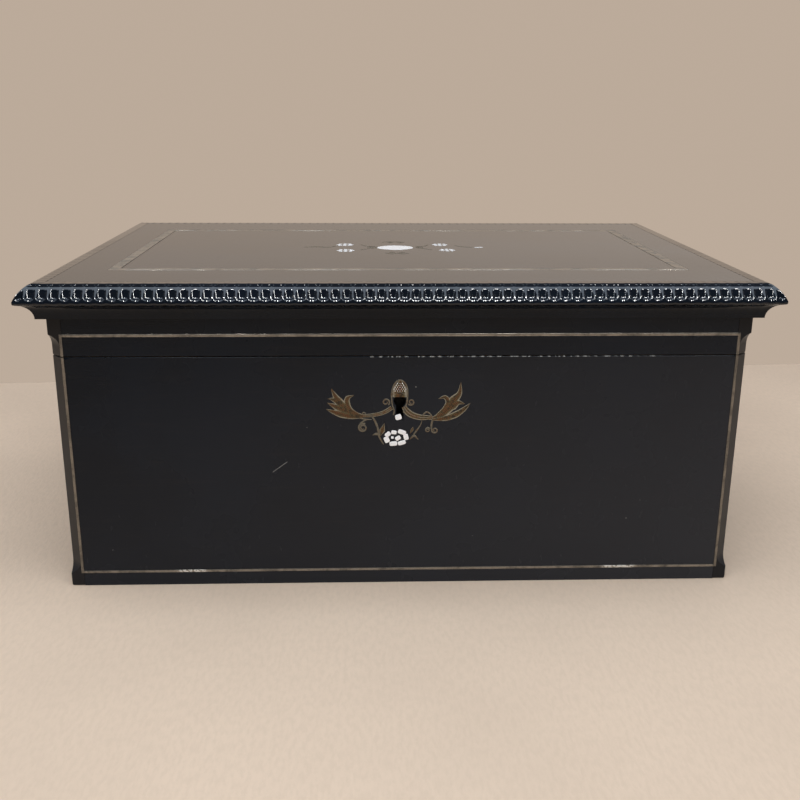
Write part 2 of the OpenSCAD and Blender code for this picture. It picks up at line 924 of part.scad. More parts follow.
module lid_back_rail() {
    color(pine) difference() {
        cross_wall(1, lid_z, panel_z);
        leaf_mortises(lid_z);
        each_hinge() leaf_screw_places() leaf_screw(lid_z, 1, fit);
    }
}

module lid_left_rail() {
    color(pine) side_wall(-1, lid_z, panel_z);
}

module lid_right_rail() {
    color(pine) side_wall(1, lid_z, panel_z);
}

module lid_panel() {
    color(pine) block([-board_x, -board_y, panel_z], [board_x, board_y, panel_top]);
}

module lid_front_veneer() {
    color(ebony) front_skin(lid_z, frieze_z - string_w);
}

module lid_front_frieze() {
    color(ebony) front_skin(frieze_z, cornice_z);
}

module lid_back_veneer() {
    color(ebony) difference() {
        back_skin(lid_z, cornice_z);
        leaf_mortises(lid_z);
    }
}

module lid_left_veneer() {
    color(ebony) side_veneer(-1, lid_z, cornice_z);
}

module lid_right_veneer() {
    color(ebony) side_veneer(1, lid_z, cornice_z);
}

module lid_post_front_left() {
    lid_post(-1, -1);
}

module lid_post_front_right() {
    lid_post(1, -1);
}

module lid_post_back_left() {
    lid_post(-1, 1);
}

module lid_post_back_right() {
    lid_post(1, 1);
}

module lid_strings() {
    color(brass) {
        for (s = [-1, 1]) {
            x = s * (field_x + string_w / 2);
            block([x - string_w / 2, -half_d, lid_z], [x + string_w / 2, -half_d + veneer_t, frieze_z - string_w]);
        }
        block([-field_x - string_w, -half_d, frieze_z - string_w], [field_x + string_w, -half_d + veneer_t, frieze_z]);
    }
}

module lid_top_border() {
    color(ebony) mitred_frame(land_x, land_y, band_x, band_y, panel_top, top_z);
}

module lid_top_band() {
    color(brass) mitred_frame(band_x, band_y, band_x - band_w, band_y - band_w, panel_top, top_z);
}

module lid_top_field() {
    x = band_x - band_w;
    y = band_y - band_w;
    color(ebony) difference() {
        block([-x, -y, panel_top], [x, y, top_z]);
        translate([0, 0, panel_top - 1]) linear_extrude(veneer_t + 2) {
            lid_pearl_outline();
            lid_scroll_outline();
        }
    }
}

module lid_brass_scrolls() {
    color(brass) translate([0, 0, panel_top]) linear_extrude(veneer_t) lid_scroll_outline();
}

module lid_pearl_inlay() {
    color(pearl) translate([0, 0, panel_top]) linear_extrude(veneer_t) lid_pearl_outline();
}

module cornice_front() {
    rotate([0, 0, 180]) cornice_length(edge_x, edge_y);
}

module cornice_back() {
    cornice_length(edge_x, edge_y);
}

module cornice_left() {
    rotate([0, 0, 90]) cornice_length(edge_y, edge_x);
}

module cornice_right() {
    rotate([0, 0, -90]) cornice_length(edge_y, edge_x);
}

module lid_lining() {
    low = lid_z + lining_drop;
    high = panel_z - lining_t;
    color(paper) {
        block([-inner_x, -inner_y, high], [inner_x, inner_y, panel_z]);
        for (s = [-1, 1]) {
            x = s * (inner_x - lining_t / 2);
            y = s * (inner_y - lining_t / 2);
            block([-inner_x, y - lining_t / 2, low], [inner_x, y + lining_t / 2, high]);
            block([x - lining_t / 2, -inner_y + lining_t, low], [x + lining_t / 2, inner_y - lining_t, high]);
        }
    }
}

body_front_board();
body_back_board();
body_left_board();
body_right_board();
bottom_board();
body_front_veneer();
body_front_base_strip();
body_back_veneer();
body_left_veneer();
body_right_veneer();
body_post_front_left();
body_post_front_right();
body_post_back_left();
body_post_back_right();
body_strings();
keyhole_inlay();
pearl_flower();
body_wall_lining();
body_floor_lining();
lock_plate();
lock_case();
lock_bolt();
lock_spring();
lock_screws();
left_hinge_body_leaf();
right_hinge_body_leaf();
left_hinge_pin();
right_hinge_pin();
hinge_body_screws();
lid_front_rail();
lid_back_rail();
lid_left_rail();
lid_right_rail();
lid_panel();
lid_front_veneer();
lid_front_frieze();
lid_back_veneer();
lid_left_veneer();
lid_right_veneer();
lid_post_front_left();
lid_post_front_right();
lid_post_back_left();
lid_post_back_right();
lid_strings();
lid_top_border();
lid_top_band();
lid_top_field();
lid_brass_scrolls();
lid_pearl_inlay();
cornice_front();
cornice_back();
cornice_left();
cornice_right();
lid_lining();
left_hinge_lid_leaf();
right_hinge_lid_leaf();
hinge_lid_screws();
link_plate();
link_plate_screws();
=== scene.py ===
"""Finishes for a black polished deed box with a fluted cornice and brass and pearl inlay."""
import math

import bpy
import numpy as np
from bpy.props import FloatProperty, FloatVectorProperty, IntProperty, PointerProperty
from mathutils import Matrix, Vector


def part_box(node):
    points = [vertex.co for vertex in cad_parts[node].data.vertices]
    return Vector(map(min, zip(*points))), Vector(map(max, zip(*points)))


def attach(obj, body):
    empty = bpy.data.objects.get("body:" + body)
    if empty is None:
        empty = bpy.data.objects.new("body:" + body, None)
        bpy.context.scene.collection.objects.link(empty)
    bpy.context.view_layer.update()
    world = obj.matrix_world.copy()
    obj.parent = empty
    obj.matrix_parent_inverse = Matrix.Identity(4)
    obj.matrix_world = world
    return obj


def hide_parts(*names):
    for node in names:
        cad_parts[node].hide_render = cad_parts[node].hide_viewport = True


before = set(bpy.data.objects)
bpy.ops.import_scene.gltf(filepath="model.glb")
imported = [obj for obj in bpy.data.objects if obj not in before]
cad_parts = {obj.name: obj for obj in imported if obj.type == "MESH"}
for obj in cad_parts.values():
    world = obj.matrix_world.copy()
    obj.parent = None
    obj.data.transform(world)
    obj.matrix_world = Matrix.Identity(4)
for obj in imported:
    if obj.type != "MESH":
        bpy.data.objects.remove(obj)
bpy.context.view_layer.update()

bl_info = {
    "name": "Deed Box",
    "version": (1, 0, 0),
    "blender": (4, 5, 0),
    "location": "3D View > Sidebar > Deed Box",
    "description": "Builds the polish, mouldings, inlay and fittings of a lidded deed box",
    "category": "Add Mesh",
}

MM = 0.001

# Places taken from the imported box, in metres
FRONT_LOW, FRONT_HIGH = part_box("body_front_veneer")
LID_LOW, LID_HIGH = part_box("lid_front_veneer")
FRIEZE_LOW, FRIEZE_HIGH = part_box("lid_front_frieze")
POST_LOW, POST_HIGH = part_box("body_post_front_right")
LID_POST_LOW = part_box("lid_post_front_right")[0]
CORNICE_LOW, CORNICE_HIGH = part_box("cornice_front")
BAND_LOW, BAND_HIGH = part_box("lid_top_band")
BORDER_LOW, BORDER_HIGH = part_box("lid_top_border")
FIELD_LOW, FIELD_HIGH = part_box("lid_top_field")
STRING_LOW, STRING_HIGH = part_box("body_strings")
LID_STRING_LOW, LID_STRING_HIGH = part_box("lid_strings")
STRIP_LOW, STRIP_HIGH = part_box("body_front_base_strip")

FACE_Y = FRONT_LOW.y
TOP_Z = CORNICE_HIGH.z
# The top's polish lies this much under the highest point, so that the lifted band and the shell stay inside
TOP_RELIEF = 0.14 * MM
POLISH_Z = TOP_Z - TOP_RELIEF
VENEER = FRONT_HIGH.y - FRONT_LOW.y
HALF_WIDTH = POST_HIGH.x
HALF_DEPTH = -POST_LOW.y
POST_WIDTH = POST_HIGH.x - POST_LOW.x
LOCK_X = -2.0 * MM
KEYHOLE_Z = 113.0 * MM


# Sizes and colours that a user would change

def millimetres(name, default, least, most, description):
    """A length whose default and limits are given in millimetres."""
    return FloatProperty(name=name, default=default * MM, min=least * MM, max=most * MM, unit="LENGTH",
                         precision=5, description=description)


def paint(name, default, description):
    """A colour, given in linear light."""
    return FloatVectorProperty(name=name, subtype="COLOR", size=3, default=default, description=description)


class DeedBoxSizes(bpy.types.PropertyGroup):
    """Sizes of the mouldings, the inlay and the wear"""

    flute_count: IntProperty(name="Flutes on the front", default=67, min=20, max=120,
                             description="Number of hollows along the front of the cornice")
    flute_depth: millimetres("Flute depth", 1.4, 0, 2, "Depth of a hollow at its deepest")
    arris: millimetres("Arris radius", 0.45, 0.05, 1, "Rounding of the edges of veneers and posts")
    string_proud: millimetres("String relief", 0.12, 0, 0.3, "How far the brass strings stand above the polish")
    inlay_proud: millimetres("Inlay relief", 0.14, 0, 0.3,
                             "How far the brass and pearl inlay stands above the polish")


class DeedBoxColours(bpy.types.PropertyGroup):
    """Colours of the finishes"""

    polish: paint("Polish", (0.002, 0.004, 0.0075), "Ebonised wood under French polish")
    # Grey of the painted sheen on the front
    haze: paint("Haze", (0.030, 0.030, 0.033), "Dulled polish of the front")
    # Pale colour of the front's marks, and of the painted highlight on its worn upper edge
    rubbed: paint("Rubbed edge", (0.42, 0.40, 0.36), "Bare edge and marks on the front")
    worn_wood: paint("Worn wood", (0.16, 0.12, 0.085), "Bare wood where the black has rubbed off")
    string_brass: paint("String brass", (0.60, 0.54, 0.46), "Brass strings and band")
    leaf_brass: paint("Leaf brass", (0.125, 0.068, 0.022), "Body of the engraved brass leaves")
    line_brass: paint("Line brass", (0.40, 0.35, 0.26), "Bright edges and lines of the engraved brass")
    pearl: paint("Pearl", (0.93, 0.93, 0.90), "Mother-of-pearl")
    pine: paint("Pine", (0.52, 0.32, 0.15), "Carcass wood")
    paper: paint("Lining paper", (0.17, 0.022, 0.028), "Paper on the lining cards")
    fitting_brass: paint("Fitting brass", (0.62, 0.42, 0.17), "Hinges and lock plate")
    steel: paint("Lock steel", (0.33, 0.33, 0.34), "Lock case and spring")
    table: paint("Table", (0.665, 0.493, 0.354), "Cloth that the box stands on")
    wall: paint("Wall", (0.50, 0.405, 0.325), "Pale wall behind the table")


class DeedBoxStudio(bpy.types.PropertyGroup):
    """Camera and lamps"""

    camera_place: FloatVectorProperty(name="Camera", subtype="TRANSLATION", size=3, unit="LENGTH",
                                      default=(-0.021378, -0.666182, 0.275495),
                                      description="Where the camera stands")
    camera_yaw: FloatProperty(name="Yaw", default=0.036429, unit="ROTATION",
                              description="Turn of the view to the right")
    camera_pitch: FloatProperty(name="Pitch", default=0.294508, unit="ROTATION",
                                description="Tilt of the view below the level")
    camera_roll: FloatProperty(name="Roll", default=0.005687, unit="ROTATION",
                               description="Turn of the picture about the line of view")
    lens: FloatProperty(name="Lens", default=44.44, min=10, max=200,
                        description="Focal length in millimetres on a sensor 36 mm wide")
    panel_power: FloatProperty(name="Panel power", default=15.0, min=0, unit="POWER",
                               description="Power of the soft panel over the box")
    spark_power: FloatProperty(name="Spark power", default=2.8, min=0, unit="POWER",
                               description="Power of each of the small lamps that glint in the flutes")


# Surfaces: every piece is made of closed tubes, each a grid of points in rings

class Tube:
    """A closed surface made of rings of points, with two numbers kept at each point for the materials."""

    def __init__(self, rings, along=None, across=None, closed=False):
        """rings is an array of count, points in a ring, 3. Neighbouring rings are joined by quads, and the
        first and last ring are filled, or joined to each other where closed is true."""
        count, size = rings.shape[:2]
        i = np.arange(count if closed else count - 1)[:, None]
        j = np.arange(size)[None, :]
        corners = [i * size + j, i * size + (j + 1) % size,
                   (i + 1) % count * size + (j + 1) % size, (i + 1) % count * size + j]
        self.points = rings.reshape(-1, 3)
        self.quads = np.stack(corners, -1).reshape(-1, 4)
        last = (count - 1) * size
        self.caps = [] if closed else [np.arange(size)[::-1], last + np.arange(size)]
        zero = np.zeros((count, size))
        self.along = (zero if along is None else along + zero).ravel()
        self.across = (zero if across is None else across + zero).ravel()
        if self.volume() < 0:
            self.quads = self.quads[:, ::-1]
            self.caps = [cap[::-1] for cap in self.caps]

    def volume(self):
        """Volume inside, as the sum of the tetrahedra from the first point to each triangle."""
        p = self.points - self.points[0]
        parts = [self.quads[:, [0, 1, 2]], self.quads[:, [0, 2, 3]]]
        parts += [np.stack([np.full(len(c) - 2, c[0]), c[1:-1], c[2:]], -1) for c in self.caps]
        t = np.concatenate(parts)
        return np.einsum("ij,ij->", p[t[:, 0]], np.cross(p[t[:, 1]], p[t[:, 2]])) / 6


CREASE = 30.0


def make_piece(name, tubes, material, body, slot, *replaced):
    """One object from tubes, smooth except where faces meet at more than CREASE degrees, riding on a body."""
    mesh = bpy.data.meshes.new(name)
    starts = np.cumsum([0] + [len(t.points) for t in tubes])
    sizes, index = [], []
    for t, start in zip(tubes, starts):
        sizes += [np.full(len(t.quads), 4)] + [np.array([len(c)]) for c in t.caps]
        index += [t.quads.ravel() + start] + [c + start for c in t.caps]
    sizes, index = np.concatenate(sizes), np.concatenate(index)
    mesh.vertices.add(starts[-1])
    mesh.vertices.foreach_set("co", np.concatenate([t.points for t in tubes]).astype(np.float32).ravel())
    mesh.loops.add(len(index))
    mesh.loops.foreach_set("vertex_index", index.astype(np.int32))
    mesh.polygons.add(len(sizes))
    mesh.polygons.foreach_set("loop_start", (np.cumsum(sizes) - sizes).astype(np.int32))
    mesh.update(calc_edges=True)
    for key in ("along", "across"):
        layer = mesh.attributes.new(key, "FLOAT", "POINT")
        layer.data.foreach_set("value", np.concatenate([getattr(t, key) for t in tubes]).astype(np.float32))
    mesh.polygons.foreach_set("use_smooth", np.ones(len(sizes), bool))
    mesh.set_sharp_from_angle(angle=math.radians(CREASE))
    mesh.validate()
    mesh.materials.append(material)
    piece = bpy.data.objects.new(name, mesh)
    bpy.context.scene.collection.objects.link(piece)
    piece.modifiers.new("flat_faces", "WEIGHTED_NORMAL").keep_sharp = True
    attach(piece, body)
    if replaced:
        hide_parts(*replaced)
    return piece


def smooth(x, low, high):
    """0 below low, 1 above high, and an even S-shaped rise between them."""
    t = np.clip((x - low) / (high - low), 0, 1)
    return t * t * (3 - 2 * t)


WAVES, SHORTER, WEAKER = 6, 1.7, 0.75


def wander(x, seed, step):
    """An uneven line from -1 to 1: a sum of sine waves, each shorter and weaker than the last."""
    rng = np.random.default_rng(seed)
    k = np.arange(WAVES)
    phase = rng.uniform(0, 2 * math.pi, WAVES)
    weight = WEAKER ** k
    waves = np.sin(np.asarray(x)[..., None] * 2 * math.pi / step * SHORTER ** k + phase)
    return waves @ weight / weight.sum()


def spline(points, count):
    """A curve through the points: between two of them it is the cubic whose slope at each is half of
    the step between that point's neighbours."""
    p = np.asarray(points, float)
    p = np.vstack([2 * p[0] - p[1], p, 2 * p[-1] - p[-2]])
    t = np.linspace(0, len(points) - 1, count)
    k = np.minimum(t.astype(int), len(points) - 2)
    f = (t - k)[:, None]
    a, b, c, d = p[k], p[k + 1], p[k + 2], p[k + 3]
    return b + 0.5 * f * (c - a + f * (2 * a - 5 * b + 4 * c - d + f * (3 * b - a - 3 * c + d)))


CORNER_POINTS = 4


def rounded_rect(half_a, half_b, radius):
    """Outline of a rectangle with round corners: the corners of a smaller rectangle, each with a quarter
    circle round it."""
    turn = np.linspace(0, math.pi / 2, CORNER_POINTS)
    corners = []
    for k, (sa, sb) in enumerate([(1, 1), (-1, 1), (-1, -1), (1, -1)]):
        angle = turn + k * math.pi / 2
        centre = np.array([sa * (half_a - radius), sb * (half_b - radius)])
        corners.append(centre + radius * np.stack([np.cos(angle), np.sin(angle)], -1))
    return np.concatenate(corners)


def board(low, high, axis, radius):
    """A board whose edges are all rounded: its outline is drawn in and lifted along the axis of its
    thickness by the sine and cosine of a quarter turn at each face."""
    low, high = np.array(low), np.array(high)
    half, middle = (high - low) / 2, (high + low) / 2
    a, b = [k for k in range(3) if k != axis]
    turn = np.linspace(0, math.pi / 2, CORNER_POINTS)
    inset = radius * (1 - np.sin(turn))
    level = radius * (1 - np.cos(turn))
    heights = np.concatenate([-half[axis] + level, half[axis] - level[::-1]])
    insets = np.concatenate([inset, inset[::-1]])
    rings = []
    for h, d in zip(heights, insets):
        flat = rounded_rect(half[a] - d, half[b] - d, radius)
        ring = np.zeros((len(flat), 3))
        ring[:, a], ring[:, b], ring[:, axis] = flat[:, 0], flat[:, 1], h
        rings.append(ring + middle)
    return Tube(np.array(rings))


def mitred_ring(outer, inner, low, high, radius, lift=None, steps=24):
    """A flat frame round the lid: a rounded rectangular section carried along the four sides of a
    rectangle, and cut at 45 degrees in each corner. lift raises its top as a function of the way round."""
    outer, inner = np.array(outer), np.array(inner)
    half = (high - low) / 2
    wide = (outer - inner) / 2
    section = rounded_rect(wide[0], half, radius)
    across = section[:, 0] / wide[0]
    corners = np.array([(-1, -1), (1, -1), (1, 1), (-1, 1)])
    share = np.linspace(0, 1, steps, endpoint=False)[:, None]
    path = np.concatenate([corners[k] * (1 - share) + corners[(k + 1) % 4] * share for k in range(4)])
    rings = np.zeros((len(path), len(section), 3))
    rings[..., :2] = path[:, None] * (inner + wide + across[:, None] * wide)
    rings[..., 2] = (low + high) / 2 + section[:, 1]
    way = np.cumsum(np.linalg.norm(np.diff(path * outer, axis=0, prepend=path[-1:] * outer), axis=1))
    if lift is not None:
        rings[..., 2] += np.where(section[:, 1] > 0, lift(way)[:, None], 0)
    return Tube(rings, along=way[:, None], across=across, closed=True)


# Materials

class Shade:
    """A socket of a material's node tree, so that maths on it can be written as an expression."""

    def __init__(self, tree, socket):
        self.tree = tree
        self.socket = socket

    def math(self, operation, *values, clamp=False):
        """The result of a maths node on this socket and on further values or sockets."""
        node = self.tree.nodes.new("ShaderNodeMath")
        node.operation = operation
        node.use_clamp = clamp
        for slot, value in zip(node.inputs, (self, *values)):
            if isinstance(value, Shade):
                self.tree.links.new(value.socket, slot)
            else:
                slot.default_value = value
        return Shade(self.tree, node.outputs[0])

    def __add__(self, other):
        return self.math("ADD", other)

    __radd__ = __add__

    def __mul__(self, other):
        return self.math("MULTIPLY", other)

    __rmul__ = __mul__

    def __sub__(self, other):
        return self.math("SUBTRACT", other)

    def __rsub__(self, other):
        return (self * -1.0) + other

    def __truediv__(self, other):
        return self.math("DIVIDE", other)

    def __pow__(self, other):
        return self.math("POWER", other)

    def clipped(self):
        """Held between 0 and 1."""
        return self.math("ADD", 0.0, clamp=True)

    def rise(self, low, high):
        """0 below low, 1 above high and an even S-shaped rise between them."""
        t = ((self - low) / (high - low)).clipped()
        return t * t * (3.0 - 2.0 * t)

    def near(self, centre, reach):
        """1 at the centre, falling evenly to 0 at reach on both sides of it."""
        return (1.0 - (self - centre).math("ABSOLUTE") / reach).clipped()


class Finish:
    """A node-based material being built."""

    def __init__(self, name):
        self.material = bpy.data.materials.new(name)
        self.material.use_nodes = True
        self.tree = self.material.node_tree
        self.shader = self.tree.nodes["Principled BSDF"]
        self.place = self.node("ShaderNodeTexCoord").outputs["Object"]

    def node(self, kind, settings=(), **values):
        """Adds a node: its settings first, then the values or links of its sockets by name."""
        node = self.tree.nodes.new(kind)
        for key, value in dict(settings).items():
            setattr(node, key, value)
        for key, value in values.items():
            self.feed(node.inputs[key.replace("_", " ")], value)
        return node

    def feed(self, socket, value):
        """Links a socket to a socket or a Shade, or sets it to a number or a colour."""
        if isinstance(value, Shade):
            self.tree.links.new(value.socket, socket)
        elif isinstance(value, bpy.types.NodeSocket):
            self.tree.links.new(value, socket)
        elif socket.type == "RGBA":
            socket.default_value = (*value, 1)
        else:
            socket.default_value = value

    def axes(self):
        """The place's x, y and z, in metres."""
        node = self.node("ShaderNodeSeparateXYZ", Vector=self.place)
        return [Shade(self.tree, node.outputs[k]) for k in range(3)]

    def number(self, name):
        """One of the numbers kept at the points of a piece's mesh."""
        return Shade(self.tree, self.node("ShaderNodeAttribute", {"attribute_name": name}).outputs["Fac"])

    def noise(self, scale, stretch=(1, 1, 1), detail=3.0, roughness=0.5, distortion=0.0):
        """Cloudy noise from 0 to 1, with the pattern drawn out along an axis by a smaller stretch."""
        grid = self.node("ShaderNodeMapping", Vector=self.place, Scale=stretch)
        node = self.node("ShaderNodeTexNoise", Vector=grid.outputs[0], Scale=scale, Detail=detail,
                         Roughness=roughness, Distortion=distortion)
        return Shade(self.tree, node.outputs["Fac"])

    def line(self, x, z, start, end, width):
        """1 on the line from start to end in x and z, 0 from width away."""
        dx, dz = end[0] - start[0], end[1] - start[1]
        length = math.hypot(dx, dz)
        along = (x - start[0]) * (dx / length) + (z - start[1]) * (dz / length)
        across = ((x - start[0]) * (dz / length) - (z - start[1]) * (dx / length)).math("ABSOLUTE")
        return across.rise(width, 0.0) * along.rise(-width, 0.0) * along.rise(length + width, length)

    def spot(self, x, z, place_x, place_z, radius):
        """1 at a place in x and z, 0 from radius away."""
        return (((x - place_x) ** 2.0 + (z - place_z) ** 2.0) ** 0.5).rise(radius, radius * 0.4)

    def mix(self, share, first, second):
        """A colour between two: the first at share 0, the second at share 1."""
        node = self.node("ShaderNodeMix", {"data_type": "RGBA"})
        self.feed(node.inputs[0], share)
        self.feed(node.inputs[6], first)
        self.feed(node.inputs[7], second)
        return node.outputs[2]

    def bump(self, height, distance, strength):
        """Relief from a height of 0 to 1 times the distance in metres."""
        node = self.node("ShaderNodeBump", Height=height, Distance=distance, Strength=strength)
        self.feed(self.shader.inputs["Normal"], node.outputs[0])

    def finish(self, **values):
        """Sets sockets of the surface shader by name, and returns the material."""
        for key, value in values.items():
            self.feed(self.shader.inputs[key.replace("_", " ")], value)
        return self.material


def tinted(colour, factor):
    """A colour made lighter or darker."""
    return tuple(channel * factor for channel in colour)


# Colours of marks and tints, and of painted shade, sheen and highlights, in linear light
# Grey-brown of the dusty film and painted sheen on the lid's top
DUST_AND_SHEEN = (0.30, 0.275, 0.25)
# Black of the painted shade in the keyhole's bore
BORE_SHADE = (0.004, 0.002, 0.001)
# Pale brass of the painted highlight on the lowest string
GLINT_BRASS = (0.80, 0.76, 0.68)
GREEN_TARNISH, RED_TARNISH = (0.125, 0.105, 0.042), (0.15, 0.058, 0.016)
PEARL_ROSE, PEARL_GREEN = (0.93, 0.89, 0.88), (0.80, 0.88, 0.85)

# Pale specks of the front, as x, z and radius, and a scratch, as its two ends in x and z
SPECKS = ((0.0070, 0.1213, 0.35 * MM), (-0.0547, 0.0976, 0.2 * MM), (0.1321, 0.0401, 0.3 * MM),
          (-0.1696, 0.0228, 0.25 * MM), (0.1396, 0.0515, 0.2 * MM), (0.0412, 0.0297, 0.2 * MM))
SCRATCH = ((-0.0747, 0.0708), (-0.0665, 0.0769))
SCRATCH_WIDTH = 0.28 * MM
# Where the front's upper edge is worn and has a painted highlight, as the x at which it starts, is full, fades
# and ends
WORN_EDGE_HIGHLIGHT = (-0.024, -0.015, 0.138, 0.150)
# The two stretches of the lowest string that get a painted highlight, as their ends in x, and how far each
# fades
GLINT_STRETCHES = ((-0.134, -0.114), (0.118, 0.141))
GLINT_FADE = 4 * MM


def black_polish(name, haze, grain_axis, coat=0.0, gleam=0.19, uneven=0.1, brown=0.0, dust_and_sheen=0.0, front=False):
    """Ebonised wood under old French polish: faint grain along one axis, a slight ripple, fine scratches,
    and clouds that make the gloss uneven. haze is its roughness, coat a second gloss that ends under the
    cornice's nose, brown the wood showing through, and dust a pale dusty film with painted sheen, thicker
    to the right. The front has a painted sheen of grey that grows to the right and towards its foot, a worn
    upper edge with a painted highlight in pale dashes, a scratch and specks."""
    tones = bpy.context.scene.deed_box_colours
    f = Finish(name)
    x, _, z = f.axes()
    along = tuple(0.04 if k == grain_axis else 1.0 for k in range(3))
    grain = f.noise(900.0, along, 4.0, 0.6)
    clouds = f.noise(14.0, detail=4.0, roughness=0.6)
    ripple = f.noise(38.0, along, 2.0)
    scratch = f.noise(420.0, (1.0, 0.06, 0.3), 2.0).rise(0.66, 0.74)
    black = f.mix(clouds.rise(0.35, 0.7), tones.polish, tinted(tones.polish, 1.5))
    warm = f.mix(brown, black, tinted(tones.worn_wood, 0.28))
    grained = f.mix(grain.rise(0.5, 0.8) * 0.15, warm, tinted(tones.worn_wood, 0.22))
    # Dusty film with painted sheen, cloudy and thicker to the right
    colour = f.mix((0.6 + 0.8 * clouds) * (1.0 + 2.4 * x) * dust_and_sheen, grained, DUST_AND_SHEEN)
    if front:
        # Painted sheen: grey mixed in more to the right and towards the foot, less above the front's top
        foot = (1.0 - z / FRONT_HIGH.z).clipped()
        painted_sheen_share = -0.06 + 0.52 * (x / (2 * FRONT_HIGH.x) + 0.5) + 0.38 * foot + 0.10 * (clouds - 0.5)
        painted_sheen_share = painted_sheen_share * (1.0 - 0.6 * z.rise(FRONT_HIGH.z, FRONT_HIGH.z + MM))
        colour = f.mix(painted_sheen_share.clipped(), colour, tones.haze)
        # Worn upper edge: pale dashes along the arris, partly wear and partly a painted highlight
        wear = f.noise(420.0, (1.0, 0.0, 0.02), 4.0).rise(0.48, 0.60)
        brim = FRONT_HIGH.z
        edge = z.rise(brim - 0.55 * MM, brim - 0.2 * MM) * (1.0 - z.rise(brim, LID_LOW.z))
        start, full, fading, end = WORN_EDGE_HIGHLIGHT
        rubbed = edge * wear * x.rise(start, full) * x.rise(end, fading)
        marks = f.line(x, z, *SCRATCH, SCRATCH_WIDTH) * 0.55
        for px, pz, radius in SPECKS:
            marks = marks.math("MAXIMUM", f.spot(x, z, px, pz, radius))
        colour = f.mix(rubbed.math("MAXIMUM", marks).clipped(), colour, tones.rubbed)
    gloss = haze + uneven * clouds.rise(0.3, 0.75) + 0.03 * scratch
    f.bump(ripple * 0.6 + grain * 0.05, 0.00008, 0.4)
    if coat:
        coat = coat * (1.0 - f.number("across").rise(0.95, 1.05))
    return f.finish(Base_Color=colour, Roughness=gloss, Coat_Weight=coat, Coat_Roughness=haze * 0.8,
                    Specular_IOR_Level=gleam)


def inlay_brass(name, tone, contrast):
    """Brass strings with patches of brown tarnish; tone darkens the metal and contrast the tarnish. The
    upright strings are darkened as painted shade, and two stretches of the lowest one get a painted highlight."""
    tones = bpy.context.scene.deed_box_colours
    f = Finish(name)
    x, _, z = f.axes()
    patches = f.noise(110.0, detail=4.0, roughness=0.65)
    specks = f.noise(700.0, detail=2.0)
    tarnish = (patches.rise(0.40, 0.66) * 0.7 + specks.rise(0.5, 0.7) * 0.3).clipped()
    metal = f.mix(tarnish * contrast, tinted(tones.string_brass, tone), tinted(tones.string_brass, 0.25 * tone))
    # Painted highlight: two stretches of the lowest string are paler and less metallic
    left, right = (x.rise(start, start + GLINT_FADE) * x.rise(end, end - GLINT_FADE)
                   for start, end in GLINT_STRETCHES)
    bright = (left + right) * z.rise(0.0105, 0.0100) * specks.rise(0.38, 0.5)
    # Painted shade: the upright strings are darkened
    upright = x.math("ABSOLUTE").rise(STRING_HIGH.x - 2 * STRING, STRING_HIGH.x - STRING)
    metal = f.mix(upright * 0.4, metal, tinted(tones.string_brass, 0.15))
    colour = f.mix(bright * 0.8, metal, GLINT_BRASS)
    f.bump(specks, 0.00006, 0.4)
    return f.finish(Base_Color=colour, Metallic=0.85 - 0.6 * bright, Roughness=0.28 + 0.25 * tarnish)


def engraved_brass(name, kind):
    """Cut brass. A leaf is pale along its edges and brown inside, with hatching and a dark vein; an arm
    has a third pale line down its middle; a line is pale all over."""
    tones = bpy.context.scene.deed_box_colours
    f = Finish(name)
    across, along = f.number("across"), f.number("along")
    side = across.math("ABSOLUTE")
    edge = side.rise(0.62, 0.82)
    bright = {"leaf": edge, "arm": edge + side.near(0.0, 0.22), "line": side * 0.0 + 0.8}[kind]
    hatch = ((along * 6500.0) + side * 4.0).math("SINE").rise(0.0, 0.9) * (1.0 - edge)
    patches = f.noise(360.0, detail=4.0, roughness=0.65)
    green = f.mix(side.rise(0.1, 0.6) * patches.rise(0.35, 0.55), tones.leaf_brass, GREEN_TARNISH)
    red = f.mix(patches.rise(0.56, 0.44) * side.rise(0.7, 0.1), green, RED_TARNISH)
    vein = side.near(0.0, 0.14) * 0.8
    dull = (hatch * 0.75).math("MAXIMUM", vein).math("MAXIMUM", patches.rise(0.50, 0.60) * 0.85)
    cut = f.mix(dull, red, tinted(tones.leaf_brass, 0.14))
    pale = tinted(tones.line_brass, 0.45 if kind == "line" else 0.8)
    colour = f.mix(bright * patches.rise(0.28, 0.52) * 0.85, cut, pale)
    f.bump(hatch * -0.5 + bright * 0.6, 0.00005, 0.6)
    return f.finish(Base_Color=colour, Metallic=0.35, Roughness=0.45 + 0.15 * patches)


def mother_of_pearl(name):
    """Pearl shell: milky white with soft bands of rose and green and a clear surface."""
    tones = bpy.context.scene.deed_box_colours
    f = Finish(name)
    bands = f.noise(240.0, (1, 1, 0.5), 3.0, 0.6, 1.5)
    rose = f.mix(bands.rise(0.40, 0.60), tones.pearl, PEARL_ROSE)
    colour = f.mix(bands.rise(0.58, 0.78), rose, PEARL_GREEN)
    f.bump(bands, 0.00004, 0.3)
    return f.finish(Base_Color=colour, Roughness=0.22, Coat_Weight=0.4)


# Reach and height of the painted shade round the keyhole's bore
BORE_SHADE_REACH = 22 * MM
BORE_SHADE_Z = KEYHOLE_Z - 3 * MM


def keyhole_painted_shade(f, x, z):
    """Painted shade of the keyhole: 1 in its bore and 0 from a few millimetres round it."""
    return f.spot(x, z, LOCK_X, BORE_SHADE_Z, BORE_SHADE_REACH).rise(0.55, 0.95)


